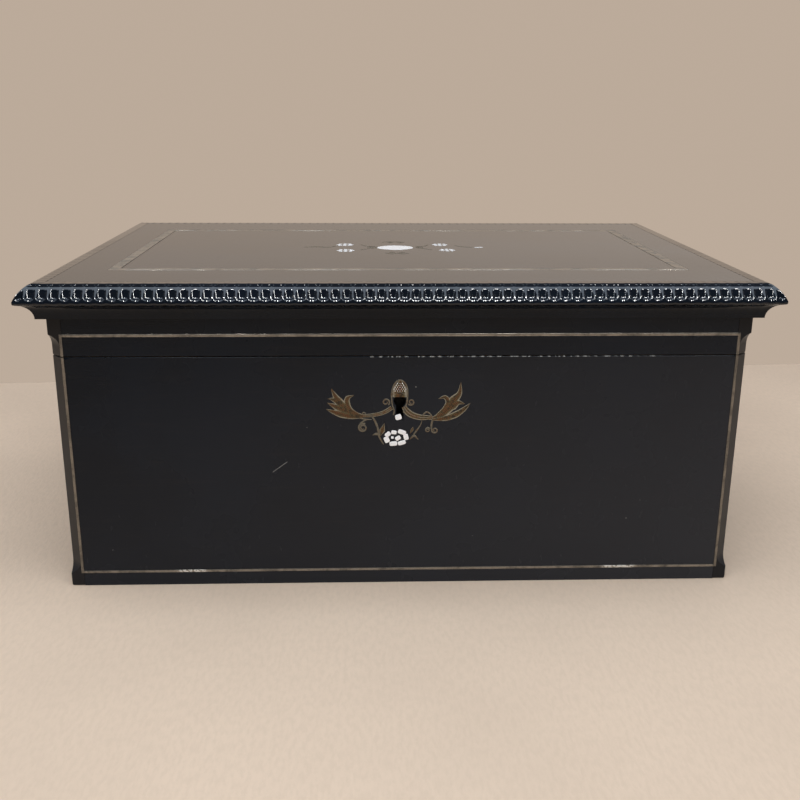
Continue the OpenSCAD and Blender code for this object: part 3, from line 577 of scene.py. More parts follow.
def bare_pine(name, grain_axis):
    """Planed pine: broad wavy grain in light and dark bands with fine pores."""
    tones = bpy.context.scene.deed_box_colours
    f = Finish(name)
    x, _, z = f.axes()
    along = tuple(0.06 if k == grain_axis else 1.0 for k in range(3))
    bands = f.noise(160.0, along, 3.0, 0.55, 0.6)
    pores = f.noise(1400.0, along, 2.0)
    light = f.mix(bands.rise(0.4, 0.65), tones.pine, tinted(tones.pine, 0.55))
    planed = f.mix(pores.rise(0.55, 0.75) * 0.5, light, tinted(tones.pine, 0.4))
    # Painted shade: black in and round the keyhole's bore
    colour = f.mix(keyhole_painted_shade(f, x, z), planed, BORE_SHADE)
    f.bump(bands * 0.5 + pores * 0.5, 0.00012, 0.5)
    return f.finish(Base_Color=colour, Roughness=0.62 + 0.1 * bands)


def lining_paper(name):
    """Dyed paper on card: small fibres and faint mottling."""
    tones = bpy.context.scene.deed_box_colours
    f = Finish(name)
    mottle = f.noise(60.0, detail=5.0, roughness=0.65)
    fibre = f.noise(1500.0, (1, 0.5, 0.7), 2.0)
    base = f.mix(mottle.rise(0.35, 0.7), tones.paper, tinted(tones.paper, 1.3))
    colour = f.mix(fibre.rise(0.6, 0.8) * 0.4, base, tinted(tones.paper, 0.5))
    f.bump(fibre, 0.0001, 0.35)
    return f.finish(Base_Color=colour, Roughness=0.85)


def fitting_metal(name, colour):
    """Rolled sheet metal: drawn-out polishing lines and clouds of tarnish, and painted shade, black, matt and
    not metallic, in the keyhole's bore.
    """
    f = Finish(name)
    x, _, z = f.axes()
    lines = f.noise(900.0, (0.08, 1, 1), 3.0)
    clouds = f.noise(90.0, detail=4.0, roughness=0.6)
    tarnish = clouds.rise(0.45, 0.75)
    sheet = f.mix(tarnish * 0.75, colour, tinted(colour, 0.38))
    # Painted shade: black, matt and not metallic in the keyhole's bore
    bore_shade = keyhole_painted_shade(f, x, z)
    base = f.mix(bore_shade, sheet, BORE_SHADE)
    f.bump(lines, 0.00004, 0.4)
    return f.finish(Base_Color=base, Metallic=1.0 - bore_shade, Roughness=0.27 + 0.2 * tarnish + 0.3 * bore_shade)


# Cornice

LAND = 6.5 * MM
NOSE_OUT = 8.0 * MM
CORNICE_H = TOP_Z - CORNICE_LOW.z
OVOLO_R = 18.0 * MM
NOSE_TOP = 10.8 * MM
NOSE_R = 0.9 * MM
COVE_R = 9.0 * MM
COVE_BACK = 0.5 * MM
LIP_R = 0.8 * MM
# Half width of a hollow as a share of the flutes' pitch
HOLLOW_HALF = 0.41
# Cuts beside the hollows, as shares of their depth: scallops of the lip, and shallow waves of nose and cove
LIP_CUT, NOSE_CUT, COVE_CUT = 0.24, 0.26, 0.12
# How a cut is shared between inwards and down
CUT_IN, CUT_DOWN = 0.72, 0.70
POINTS_PER_FLUTE = 18
# Depth of a hollow as a share of its greatest, at shares of the way down the convex face
SPOON = ([0.0, 0.22, 0.27, 0.32, 0.42, 0.52, 0.62, 0.69, 0.72, 0.76, 0.80, 0.84, 1.0],
         [0.0, 0.00, 0.05, 0.20, 0.54, 0.78, 0.94, 1.00, 0.97, 0.72, 0.36, 0.10, 0.0])


def arc(centre, radius, start, end, count):
    """Points at equal angles on an arc, in the plane of the section."""
    angle = np.radians(np.linspace(start, end, count))
    return np.array(centre) + radius * np.stack([np.cos(angle), np.sin(angle)], -1)


def cornice_section():
    """The moulding's section as points (outwards from the top edge, up from the underside), with the
    share of the way down the convex face, which is 0 on the land and 1 under the nose."""
    top, nose = np.array([0, CORNICE_H]), np.array([NOSE_OUT, NOSE_TOP])
    chord = nose - top
    length = np.hypot(*chord)
    normal = np.array([-chord[1], chord[0]]) / length
    centre = (top + nose) / 2 - normal * math.sqrt(OVOLO_R ** 2 - length ** 2 / 4)
    first = math.degrees(math.atan2(*(top - centre)[::-1]))
    last = math.degrees(math.atan2(*(nose - centre)[::-1]))
    land = np.stack([np.linspace(-LAND + 0.3 * MM, -LIP_R, 3), np.full(3, CORNICE_H)], -1)
    ovolo = arc(centre, OVOLO_R, first - 3, last, 36)
    lip = spline([land[-1], [-LIP_R * 0.35, CORNICE_H - LIP_R * 0.12], ovolo[0]], 6)[1:-1]
    bead = arc([NOSE_OUT - NOSE_R, NOSE_TOP - NOSE_R], NOSE_R, 0, -90, 6)
    cove_x = COVE_R - COVE_BACK
    start = 91 + math.degrees(math.asin((cove_x - NOSE_OUT + NOSE_R) / COVE_R))
    cove = arc([cove_x, 0], COVE_R, start, 180, 10)
    back = np.array([[-LAND * 0.5, 0], [-LAND + 0.3 * MM, 0], [-LAND, 0.3 * MM], [-LAND, CORNICE_H - 0.3 * MM]])
    points = np.concatenate([land, lip, ovolo, bead, cove, back])
    down = np.concatenate([np.zeros(len(land) + len(lip)), np.linspace(0, 0.95, len(ovolo)),
                           np.linspace(0.955, 1, len(bead)), np.linspace(1.02, 2, len(cove)), np.full(4, 3.0)])
    return points, down


def cornice_length(half_edge, half_out, turn, count):
    """One mitred length: the section is carried along the edge, and each point is pushed in where a hollow
    passes. A hollow is a rounded valley across the face, and a spoon down it: it starts below the lip,
    is deepest past the middle and runs out above the nose. The nose has even waves in line with the
    hollows, and faint valleys go on down the cove."""
    sizes = bpy.context.scene.deed_box_sizes
    section, down = cornice_section()
    reach = half_edge + section[:, 0]
    columns = count * POINTS_PER_FLUTE
    share = np.linspace(-1, 1, columns + 1)[:, None]
    x = share * reach
    pitch = 2 * (half_edge + NOSE_OUT) / count
    offset = np.abs((x / pitch + (0.5 if count % 2 else 0.0)) % 1 - 0.5)
    valley = np.sqrt(np.clip(1 - (offset / HOLLOW_HALF) ** 2, 0, None))
    hollow = valley * (1 - 0.35 * smooth(offset, 0.25, HOLLOW_HALF))
    scallop = 1 - smooth(offset, 0.3, 0.5)
    spoon = np.interp(down, *SPOON) * (down <= 1)
    wave = 0.5 + 0.5 * np.cos(2 * math.pi * offset)
    nose_cut = NOSE_CUT * smooth(down, 0.72, 0.84) * (1 - smooth(down, 1.0, 1.1))
    lip_cut = LIP_CUT * smooth(down, -0.01, 0.01) * (1 - smooth(down, 0.02, 0.16)) * scallop
    cove_cut = COVE_CUT * smooth(down, 1.0, 1.2) * (1 - smooth(down, 1.6, 2.0))
    clear = smooth(reach - np.abs(x), 0.2 * MM, 2.2 * MM)
    depth = sizes.flute_depth * ((spoon + cove_cut) * hollow + nose_cut * wave + lip_cut) * clear
    out = half_out + section[:, 0] - depth * CUT_IN
    up = section[:, 1] - depth * CUT_DOWN * (down <= 1)
    rings = np.stack([x, out + 0 * x, CORNICE_LOW.z + up + 0 * x], -1)
    angle = np.array([[math.cos(turn), math.sin(turn), 0], [-math.sin(turn), math.cos(turn), 0], [0, 0, 1]])
    return Tube(rings @ angle, along=x, across=down)


class AddCornice(bpy.types.Operator):
    """Fluted cornice in four mitred lengths"""

    bl_idname = "deed_box.cornice"
    bl_label = "Cornice"

    def execute(self, context):
        """Makes each length from the section and its number of flutes."""
        edge_x = CORNICE_HIGH.x - NOSE_OUT
        edge_y = -CORNICE_LOW.y - NOSE_OUT
        front = context.scene.deed_box_sizes.flute_count
        side = round(front * (edge_y + NOSE_OUT) / (edge_x + NOSE_OUT))
        polish = black_polish("cornice_polish", 0.06, 0, coat=0.6, uneven=0.02)
        lengths = [("front", math.pi, edge_x, edge_y, front), ("back", 0.0, edge_x, edge_y, front),
                   ("left", math.pi / 2, edge_y, edge_x, side), ("right", -math.pi / 2, edge_y, edge_x, side)]
        for name, turn, half_edge, half_out, count in lengths:
            tube = cornice_length(half_edge, half_out, turn, count)
            make_piece(f"fluted_cornice_{name}", [tube], polish, "lid", "ebonised_wood", f"cornice_{name}")
        return {"FINISHED"}


# Posts, veneers and the strips of the front

CHAMFER = 6.0 * MM
FOOT_R = 1.2 * MM
STOP_R = 8.0 * MM
STOP_LOW = STRING_LOW.z
STOP_HIGH = LID_STRING_HIGH.z
STRING = STRING_HIGH.x - FRONT_HIGH.x


def chamfer_leg(run):
    """Leg of the chamfer at a distance past the plateau's end: the plateau's depth, less what an arc of
    the stop's radius gives back."""
    depth = CHAMFER / math.sqrt(2)
    short = np.clip(STOP_R ** 2 - np.maximum(run, 0) ** 2, 0, None)
    return np.clip((depth - STOP_R + np.sqrt(short)) * math.sqrt(2), 0, CHAMFER)


def post(sign_x, sign_y, heights, legs, rebate, arris, foot=0.0):
    """A corner post: at each height its section is a square with one chamfered corner, whose two arrises
    are rounded, and beside the front string it is cut back by the string's thickness. Its two outer faces
    are drawn in by a quarter circle over the lowest part, foot high."""
    legs = np.maximum(legs, arris * 0.6)[:, None]
    turn = np.radians(np.linspace(0, 45, 5))
    inner = arris * (math.sqrt(2) - 1)
    first = np.stack([arris - arris * np.cos(turn) + 0 * legs, legs + inner - arris * np.sin(turn)], -1)
    second = first[:, ::-1, ::-1]
    flat = np.zeros((len(heights), 1, 2))
    wide = POST_WIDTH
    cut = (rebate * STRING)[:, None]
    far = np.stack([wide - cut, 0 * cut], -1)
    step = np.stack([wide - cut, (rebate * VENEER)[:, None]], -1)
    edge = np.stack([wide + 0 * cut, (rebate * VENEER)[:, None]], -1)
    back = flat + [wide, wide]
    side = flat + [0, wide]
    outline = np.concatenate([first, second, far, step, edge, back, side], 1)
    rise = np.clip((heights - heights.min()) / max(foot, 1e-9), 0, 1)
    drawn = foot * (1 - np.sqrt(1 - (1 - rise) ** 2))[:, None, None] * (outline < wide / 2)
    outline = outline + drawn
    rings = np.zeros((*outline.shape[:2], 3))
    rings[..., 0] = sign_x * (HALF_WIDTH - outline[..., 0])
    rings[..., 1] = sign_y * (HALF_DEPTH - outline[..., 1])
    rings[..., 2] = heights[:, None]
    return Tube(rings, along=heights[:, None] + 0 * rings[..., 0])


def body_post_rings(low, high, level, arris):
    """Heights, chamfer legs and rebate of a post that stands square up to level and is chamfered above."""
    run = math.sqrt(STOP_R ** 2 - (STOP_R - CHAMFER / math.sqrt(2)) ** 2)
    plateau = level + run
    ends = np.linspace(0, math.pi / 2, 6)
    foot = low + FOOT_R * (1 - np.cos(ends))
    curve = np.linspace(level, plateau, 18)
    heights = np.concatenate([foot, [level, level + 1e-6], curve[1:], [high - arris], [high]])
    legs = np.concatenate([0 * ends, [0, 0], chamfer_leg(plateau - curve[1:]),
                           [CHAMFER, CHAMFER + arris * 0.7]])
    rebate = (heights > level + 5e-7).astype(float)
    return heights, legs, rebate


class AddPosts(bpy.types.Operator):
    """Chamfered corner posts of the body and the lid"""

    bl_idname = "deed_box.posts"
    bl_label = "Corner posts"

    def execute(self, context):
        """Makes eight posts: the body's stand on square feet, and the lid's are the same form upside down."""
        arris = context.scene.deed_box_sizes.arris
        polish = black_polish("post_polish", 0.30, 2, brown=0.22)
        for sx, side in ((-1, "left"), (1, "right")):
            for sy, end in ((-1, "front"), (1, "back")):
                strings = 1.0 if sy < 0 else 0.0
                h, legs, rebate = body_post_rings(POST_LOW.z, POST_HIGH.z, STOP_LOW, arris)
                tube = post(sx, sy, h, legs, rebate * strings, arris, FOOT_R)
                make_piece(f"corner_post_{end}_{side}", [tube], polish, "body", "ebonised_wood",
                           f"body_post_{end}_{side}")
                top = CORNICE_LOW.z
                h, legs, rebate = body_post_rings(0, top - LID_POST_LOW.z, top - STOP_HIGH, arris)
                tube = post(sx, sy, (top - h)[::-1], legs[::-1], rebate[::-1] * strings, arris)
                make_piece(f"lid_corner_post_{end}_{side}", [tube], polish, "lid", "ebonised_wood",
                           f"lid_post_{end}_{side}")
        return {"FINISHED"}


def keyhole_outline(count):
    """Points round the keyhole, at equal angles about its middle: a circle, and below it a slot."""
    radius, half_slot, foot = 3.5 * MM, 2.1 * MM, -11.0 * MM
    angle = np.linspace(-math.pi / 2, 1.5 * math.pi, count, endpoint=False)
    direction = np.stack([np.cos(angle), np.sin(angle)], -1)
    side = half_slot / np.maximum(np.abs(direction[:, 0]), 1e-9)
    bottom = foot / np.minimum(direction[:, 1], -1e-9)
    in_slot = (direction[:, 1] < 0) & (side > radius)
    length = np.where(in_slot, np.minimum(side, bottom), radius)
    return direction * length[:, None]


RAYS = 720


def front_face(arris):
    """The body's front veneer: rings from the keyhole to the veneer's edge and back behind it. Each ring
    is a blend of the keyhole's outline and the rectangle, and the outer edge is rounded."""
    centre = np.array([LOCK_X, KEYHOLE_Z])
    hole = keyhole_outline(RAYS) + centre
    angle = np.linspace(-math.pi / 2, 1.5 * math.pi, RAYS, endpoint=False)
    low, high = np.array([FRONT_LOW.x, FRONT_LOW.z]), np.array([FRONT_HIGH.x, FRONT_HIGH.z])

    def edge(inset):
        """Where rays at equal angles from the keyhole meet the rectangle, with its corners hit exactly."""
        direction = np.stack([np.cos(angle), np.sin(angle)], -1)
        room = np.where(direction > 0, high - inset - centre, centre - low - inset)
        return centre + direction * (room / np.maximum(np.abs(direction), 1e-9)).min(1)[:, None]

    outer = edge(0.0)
    for corner in (low, [high[0], low[1]], high, [low[0], high[1]]):
        nearest = np.argmin(np.hypot(*(outer - corner).T))
        angle[nearest] = math.atan2(*(np.array(corner) - centre)[::-1])
    turn = np.linspace(0, math.pi / 2, 5)
    rings = [(hole, FACE_Y + VENEER), (hole, FACE_Y + 0.1 * MM)]
    rings += [(hole + (hole - centre) * 0.03, FACE_Y)]
    inner = edge(arris)
    rings += [(hole * (1 - s) + inner * s, FACE_Y) for s in (0.12, 0.35, 0.65, 1.0)]
    rings += [(edge(arris * (1 - math.sin(t))), FACE_Y + arris * (1 - math.cos(t))) for t in turn[1:]]
    rings += [(edge(0.0), FACE_Y + VENEER)]
    grid = np.array([np.stack([flat[:, 0], np.full(RAYS, y), flat[:, 1]], -1) for flat, y in rings])
    return Tube(grid, closed=True)


class AddFrontPanels(bpy.types.Operator):
    """Veneers, base strip and frieze of the front"""

    bl_idname = "deed_box.front_panels"
    bl_label = "Front panels"

    def execute(self, context):
        """Makes the pierced front of the body, and three plain boards with rounded edges."""
        arris = context.scene.deed_box_sizes.arris
        polish = black_polish("front_polish", 0.22, 0, front=True)
        make_piece("front_face", [front_face(arris)], polish, "body", "ebonised_wood", "body_front_veneer")
        boards = [("base_strip", STRIP_LOW, STRIP_HIGH, "body", "body_front_base_strip"),
                  ("lid_front_face", LID_LOW, LID_HIGH, "lid", "lid_front_veneer"),
                  ("lid_frieze", FRIEZE_LOW, FRIEZE_HIGH, "lid", "lid_front_frieze")]
        for name, low, high, body, node in boards:
            make_piece(name, [board(low, high, 1, arris * 0.7)], polish, body, "ebonised_wood", node)
        return {"FINISHED"}


def string_path(corners, spacing):
    """Points along a line of straight runs, with a ring just beside each corner, and the mitre's direction."""
    corners = np.array(corners, float)
    runs = np.diff(corners, axis=0)
    lengths = np.hypot(*runs.T)
    heading = runs / lengths[:, None]
    side = np.stack([-heading[:, 1], heading[:, 0]], -1)
    points, sides = [], []
    for k, (start, run, length) in enumerate(zip(corners[:-1], runs, lengths)):
        share = np.linspace(0, 1, max(2, int(length / spacing)))[:, None]
        points.append(start + run * share if k == 0 else (start + run * share)[1:])
        along = np.repeat(side[k:k + 1], len(points[-1]), 0)
        if k + 1 < len(side):
            along[-1] = (side[k] + side[k + 1]) / (1 + side[k] @ side[k + 1])
        sides.append(along)
    return np.concatenate(points), np.concatenate(sides)


STRING_STEP = 1.2 * MM
STRING_BASE = -0.5 * MM
STRING_LIFT, STRING_TILT, STRING_SWAY = 0.09 * MM, 0.05 * MM, 0.05 * MM


def string_tube(corners, width, face, proud, seed):
    """A brass string let into the face: a flat strip with a low crown, carried along the corners' line,
    mitred at each, and lifted a little here and there where the glue has let go."""
    line, side = string_path(corners, STRING_STEP)
    way = np.cumsum(np.hypot(*np.diff(line, axis=0, prepend=line[:1]).T))
    across = np.array([-1, -1, -0.82, -0.4, 0, 0.4, 0.82, 1, 1])
    crown = np.array([STRING_BASE, -0.02 * MM, 0.55 * proud, 0.95 * proud, proud, 0.95 * proud, 0.55 * proud,
                      -0.02 * MM, STRING_BASE])
    lift = STRING_LIFT * smooth(wander(way, seed, 60 * MM), 0.35, 0.8)
    tilt = STRING_TILT * wander(way, seed + 1, 25 * MM)
    sway = STRING_SWAY * wander(way, seed + 2, 45 * MM)
    rings = np.zeros((len(line), len(across), 3))
    flat = line[:, None] + side[:, None] * (across[:, None] * width / 2 + sway[:, None, None])
    rings[..., 0], rings[..., 2] = flat[..., 0], flat[..., 1]
    rings[..., 1] = face - crown - (crown > -0.1 * MM) * (lift[:, None] + tilt[:, None] * across)
    return Tube(rings, along=way[:, None], across=across)


class AddStrings(bpy.types.Operator):
    """Brass strings of the front"""

    bl_idname = "deed_box.strings"
    bl_label = "Brass strings"

    def execute(self, context):
        """Makes one mitred string round the body's front and one round the lid's."""
        proud = context.scene.deed_box_sizes.string_proud
        brass = inlay_brass("string_brass", 0.55, 0.8)
        half = STRING_HIGH.x - STRING / 2
        foot = STRING_LOW.z + STRING / 2
        head = LID_STRING_HIGH.z - STRING / 2
        body = string_tube([(-half, STRING_HIGH.z), (-half, foot), (half, foot), (half, STRING_HIGH.z)],
                           STRING, FACE_Y, proud, 11)
        lid = string_tube([(-half, LID_STRING_LOW.z), (-half, head), (half, head), (half, LID_STRING_LOW.z)],
                          STRING, FACE_Y, proud, 23)
        make_piece("front_string", [body], brass, "body", "inlaid_brass", "body_strings")
        make_piece("lid_front_string", [lid], brass, "lid", "inlaid_brass", "lid_strings")
        return {"FINISHED"}


# Top of the lid

FIELD_CRACK = 0.5 * MM
BAND_SUNK = 0.02 * MM


class AddLidTop(bpy.types.Operator):
    """Border, brass band and field of the lid's top"""

    bl_idname = "deed_box.lid_top"
    bl_label = "Lid top"

    def execute(self, context):
        """Makes the border and the band as mitred frames, and the field as a board that has shrunk from the
        band at its ends, all with rounded edges."""
        arris = context.scene.deed_box_sizes.arris
        polish = black_polish("top_polish", 0.13, 0, gleam=0.5, uneven=0.03, dust_and_sheen=0.16)
        brass = inlay_brass("band_brass", 0.75, 0.35)
        band_out, band_in = (BAND_HIGH.x, BAND_HIGH.y), (FIELD_HIGH.x, FIELD_HIGH.y)
        border = mitred_ring((BORDER_HIGH.x, BORDER_HIGH.y), band_out, BORDER_LOW.z, POLISH_Z, arris * 0.4)
        band = mitred_ring(band_out, band_in, BAND_LOW.z, POLISH_Z - BAND_SUNK, 0.2 * MM,
                           lambda way: TOP_RELIEF * smooth(wander(way, 5, 90 * MM), -0.3, 0.5), 90)
        make_piece("top_border", [border], polish, "lid", "ebonised_wood", "lid_top_border")
        make_piece("top_band", [band], brass, "lid", "inlaid_brass", "lid_top_band")
        field = board((FIELD_LOW.x + FIELD_CRACK, FIELD_LOW.y, FIELD_LOW.z),
                      (FIELD_HIGH.x - FIELD_CRACK, FIELD_HIGH.y, POLISH_Z), 2, arris * 0.4)
        make_piece("top_field", [field], polish, "lid", "ebonised_wood", "lid_top_field")
        return {"FINISHED"}


# Inlay: strips and lozenges drawn flat in millimetres, then laid on the front or on the lid

def on_front(flat, height):
    """Flat points and heights above the polish, placed on the body's front."""
    return np.stack([flat[..., 0], FACE_Y - height, flat[..., 1]], -1)


def on_lid(flat, height):
    """Flat points and heights above the polish, placed on the lid's top."""
    return np.stack([flat[..., 0], flat[..., 1], POLISH_Z + height], -1)


SUNK = 0.25 * MM


def ribbon(points, widths, place, proud, per_step=9):
    """A strip of brass: its middle is the curve through the points, its half width the curve through the
    widths, and its section a low crown over a sunk base. The narrow ends are closed."""
    count = per_step * (len(points) - 1) + 1
    line = spline(points, count) * MM
    steps = np.linspace(0, len(widths) - 1, count)
    half = np.maximum(np.interp(steps, np.arange(len(widths)), widths), 0.04) * MM
    heading = np.gradient(line, axis=0)
    heading /= np.hypot(*heading.T)[:, None]
    side = np.stack([-heading[:, 1], heading[:, 0]], -1)
    across = np.array([-1, -1, -0.85, -0.55, -0.2, 0.2, 0.55, 0.85, 1, 1])
    crown = proud * (1 - 0.6 * np.abs(across) ** 4)
    crown[[0, -1]] = -SUNK
    flat = line[:, None] + side[:, None] * (across[:, None] * half[:, None, None])
    way = np.cumsum(np.hypot(*np.diff(line, axis=0, prepend=line[:1]).T))
    return Tube(place(flat, crown + 0 * flat[..., 0]), along=way[:, None], across=across)


SWIRL_POINTS = 15
PEBBLE_POINTS = 28


def swirl(centre, radius, start, turns, half, place, proud):
    """A curl: a strip whose middle is a spiral, its distance from the centre falling evenly to a third."""
    angle = np.radians(start) + np.linspace(0, 2 * math.pi * turns, SWIRL_POINTS)
    distance = radius * np.linspace(1, 0.3, SWIRL_POINTS)
    points = np.array(centre) + distance[:, None] * np.stack([np.cos(angle), np.sin(angle)], -1)
    return ribbon(points, [half, half, half * 0.8, half * 0.5], place, proud, 3)


def pebble(centre, radii, turn, place, proud, square=2.4):
    """A pillow-shaped piece of shell: rings of a rounded oval, drawn in towards its middle as the surface
    rises, with its base sunk in the wood."""
    angle = np.linspace(0, 2 * math.pi, PEBBLE_POINTS, endpoint=False)
    c, s = np.cos(angle), np.sin(angle)
    reach = (np.abs(c) ** square + np.abs(s) ** square) ** (-1 / square)
    oval = np.stack([radii[0] * reach * c, radii[1] * reach * s], -1) * MM
    t = math.radians(turn)
    oval = oval @ np.array([[math.cos(t), math.sin(t)], [-math.sin(t), math.cos(t)]])
    scale = np.array([1, 1, 0.93, 0.7, 0.4, 0.12])
    height = np.array([-SUNK / proud, 0.3, 0.75, 0.97, 1.0, 1.0]) * proud
    flat = np.array(centre) * MM + oval * scale[:, None, None]
    return Tube(place(flat, height[:, None] + 0 * flat[..., 0]), along=scale[:, None], across=scale[:, None])


# Leaf lobes of the front, as (points of the middle line, half widths), x and z in millimetres
LEFT_LEAF = [
    ([(-22, 104.2), (-28, 105.6), (-33, 109), (-37, 113.6), (-40.7, 120.6)], [0.6, 1.9, 3.0, 2.3, 0.1]),
    ([(-23, 103.6), (-29, 104), (-35, 105.4), (-39.5, 106.8), (-43.6, 108.4)], [0.5, 1.5, 2.1, 1.3, 0.1]),
    ([(-27, 105), (-33, 107.6), (-38, 109.8), (-43, 112.2)], [0.5, 2.0, 1.8, 0.1]),
    ([(-30, 107.4), (-35.5, 111), (-39.4, 114), (-42.6, 114.6)], [0.4, 1.6, 1.2, 0.1]),
    ([(-25, 105.2), (-29.6, 107.8), (-31.8, 111.8), (-31.4, 115), (-28, 116.6)], [0.4, 1.2, 1.7, 1.4, 0.1]),
]
RIGHT_LEAF = [
    ([(16.5, 101.9), (24, 102.8), (30, 105), (34.5, 108.2), (38, 111.6)], [0.5, 1.7, 1.9, 1.3, 0.1]),
    ([(24, 106.5), (28, 109.8), (31, 112), (34.8, 111.2)], [0.5, 2.4, 1.5, 0.1]),
    ([(17, 103), (22, 105.2), (26, 109.4), (28.4, 113.4), (31.6, 117.4), (32.4, 124)],
     [0.6, 2.2, 3.0, 2.7, 1.5, 0.1]),
    ([(19, 104.8), (23.4, 108.8), (25.2, 112.6), (23.4, 115.2), (19.8, 114.2)], [0.4, 1.1, 1.4, 1.2, 0.1]),
]
ARMS = [
    ([(-6.6, 109.2), (-9.5, 107.2), (-13, 105.7), (-18, 104.7), (-23, 104.4)], [1.2, 1.2, 1.1, 1.0, 0.9]),
    ([(0.2, 109.8), (2.4, 106.6), (5.6, 104.5), (10, 103.3), (14, 103.2), (18, 102.6)],
     [1.3, 1.9, 1.8, 1.6, 1.3, 0.9]),
]
# Cresting over the keyhole, outlines and stems, leaves on the stems, as points and half widths again
CREST = [([(-2.1, 115.4), (-2.1, 118), (-2, 121.4), (-1.8, 124.6)], [4.0, 4.0, 3.4, 0.8])]
LINES = [
    ([(-5.7, 104.8), (-5.2, 107.4), (-6.2, 110.6), (-6.7, 115.5), (-6.4, 119.4), (-5.2, 122.8), (-3.6, 124.7),
      (-1.7, 125.2), (0.2, 124.2), (1.8, 121.6), (2.3, 118.6), (2.2, 114.8), (1.9, 111.6), (0.6, 109),
      (0.1, 106.2)], [0.35, 0.4, 0.45, 0.45, 0.4]),
    ([(-5.4, 115.8), (-4.4, 117.4), (-2.1, 118.2), (0.2, 117.4), (1.2, 115.8)], [0.3, 0.4, 0.3]),
    ([(-17.6, 103.9), (-16, 101), (-14.8, 98), (-14.2, 95), (-13.8, 92.2), (-12.6, 89.6), (-11.2, 87.2)],
     [0.5, 0.6, 0.5, 0.5, 0.25]),
    ([(-13.6, 92.6), (-15.4, 93.5), (-17.6, 92.8)], [0.3, 0.8, 0.1]),
    ([(-24.5, 103), (-21.5, 102.3), (-18, 102.2)], [0.35, 0.4, 0.2]),
    ([(-20.6, 102.2), (-22.4, 101.4), (-24.6, 100)], [0.35, 0.4, 0.3]),
    ([(10.8, 104.4), (13, 106.4), (15.4, 105.2), (16.8, 102.4)], [0.4, 0.45, 0.3]),
    ([(16.6, 101.6), (16, 98.6), (16.2, 96)], [0.5, 0.55, 0.4]),
    ([(10.6, 101.4), (9.8, 98.8), (7.6, 95.4), (5.9, 93)], [0.2, 0.25, 0.5, 0.3]),
    ([(3.6, 90), (6.2, 92.3), (8.6, 90)], [0.2, 0.7, 0.2]),
]
STEM_LEAVES = [([(-13.2, 92.4), (-12, 95.6), (-10.7, 99.9)], [0.2, 1.6, 0.1]),
               ([(4, 93.8), (5, 95.8), (5.6, 97.6)], [0.2, 0.75, 0.15])]
# Curls, as centre, radius, start in degrees, turns and half width
CURLS = [((-9.9, 112.4), 2.2, -50, 1.25, 0.45), ((4.3, 112.4), 1.9, 215, 1.25, 0.45),
         ((-22.5, 105.5), 1.1, 0, 1.0, 0.3), ((-23, 97.3), 2.7, 60, 1.7, 0.5),
         ((14, 95.7), 1.5, 30, 1.3, 0.4), ((18, 95.6), 1.9, 150, 1.3, 0.45)]
# Pieces of shell, as centre, radii and turn in degrees
PETALS = [((-8.8, 93.2), (1.75, 1.3), 42), ((-5.3, 94.4), (1.55, 1.15), -8), ((-0.7, 94.5), (2.35, 1.35), -20),
          ((1.6, 91.6), (1.35, 1.85), 14), ((-0.8, 88.1), (2.3, 1.25), 16), ((-5.6, 87.6), (2.2, 1.35), 6),
          ((-9.4, 90.0), (1.5, 1.85), 22), ((-6.2, 91.3), (0.75, 0.75), 0), ((-3.0, 90.9), (1.6, 1.25), 34)]
CHIP = [((-2.8, 103.5), (1.8, 1.6), 14)]
# Beads of the cresting: rows of even steps, every second row shifted by half a step, inside an oval
BEAD_STEP, BEAD_ROW, BEAD_R = 1.35, 1.1, 0.27
BEADS = [((-2.0 + BEAD_STEP * (i + 0.5 * (k % 2)), 119.0 + BEAD_ROW * k), (BEAD_R, BEAD_R), 0)
         for k in range(5) for i in range(-3, 4)
         if ((i + 0.5 * (k % 2)) * BEAD_STEP / 3.6) ** 2 + ((BEAD_ROW * k - 0.5) / 4.4) ** 2 < 1]


def laid(shapes, place, proud, lift):
    """Strips for a list of shapes, each a little higher than the one before so that they overlap cleanly."""
    return [ribbon(points, widths, place, proud + lift + 0.004 * MM * k)
            for k, (points, widths) in enumerate(shapes)]


class AddFrontInlay(bpy.types.Operator):
    """Brass leaves, scrolls and pearl flower of the front"""

    bl_idname = "deed_box.front_inlay"
    bl_label = "Front inlay"

    def execute(self, context):
        """Lays leaves, arms, lines and curls of brass round the keyhole, the petals under it, and the chip
        and beads of shell at its foot and over it."""
        proud = context.scene.deed_box_sizes.inlay_proud
        leaf, plain = engraved_brass("leaf_brass", "leaf"), engraved_brass("line_brass", "line")
        arm = engraved_brass("arm_brass", "arm")
        leaves = laid(LEFT_LEAF + RIGHT_LEAF + STEM_LEAVES + CREST, on_front, proud, 0)
        lines = laid(LINES, on_front, proud, 0.05 * MM)
        curls = [swirl(*c, on_front, proud + 0.06 * MM) for c in CURLS]
        petals = [pebble(*p, on_front, proud, 4.4) for p in PETALS + CHIP]
        petals += [pebble(*b, on_front, proud + 0.06 * MM) for b in BEADS]
        make_piece("keyhole_leaves", leaves, leaf, "body", "inlaid_brass", "keyhole_inlay")
        make_piece("keyhole_arms", laid(ARMS, on_front, proud, 0.03 * MM), arm, "body", "inlaid_brass")
        make_piece("keyhole_lines", lines + curls, plain, "body", "inlaid_brass")
        make_piece("front_flower", petals, mother_of_pearl("flower_pearl"), "body", "mother_of_pearl",
                   "pearl_flower")
        return {"FINISHED"}


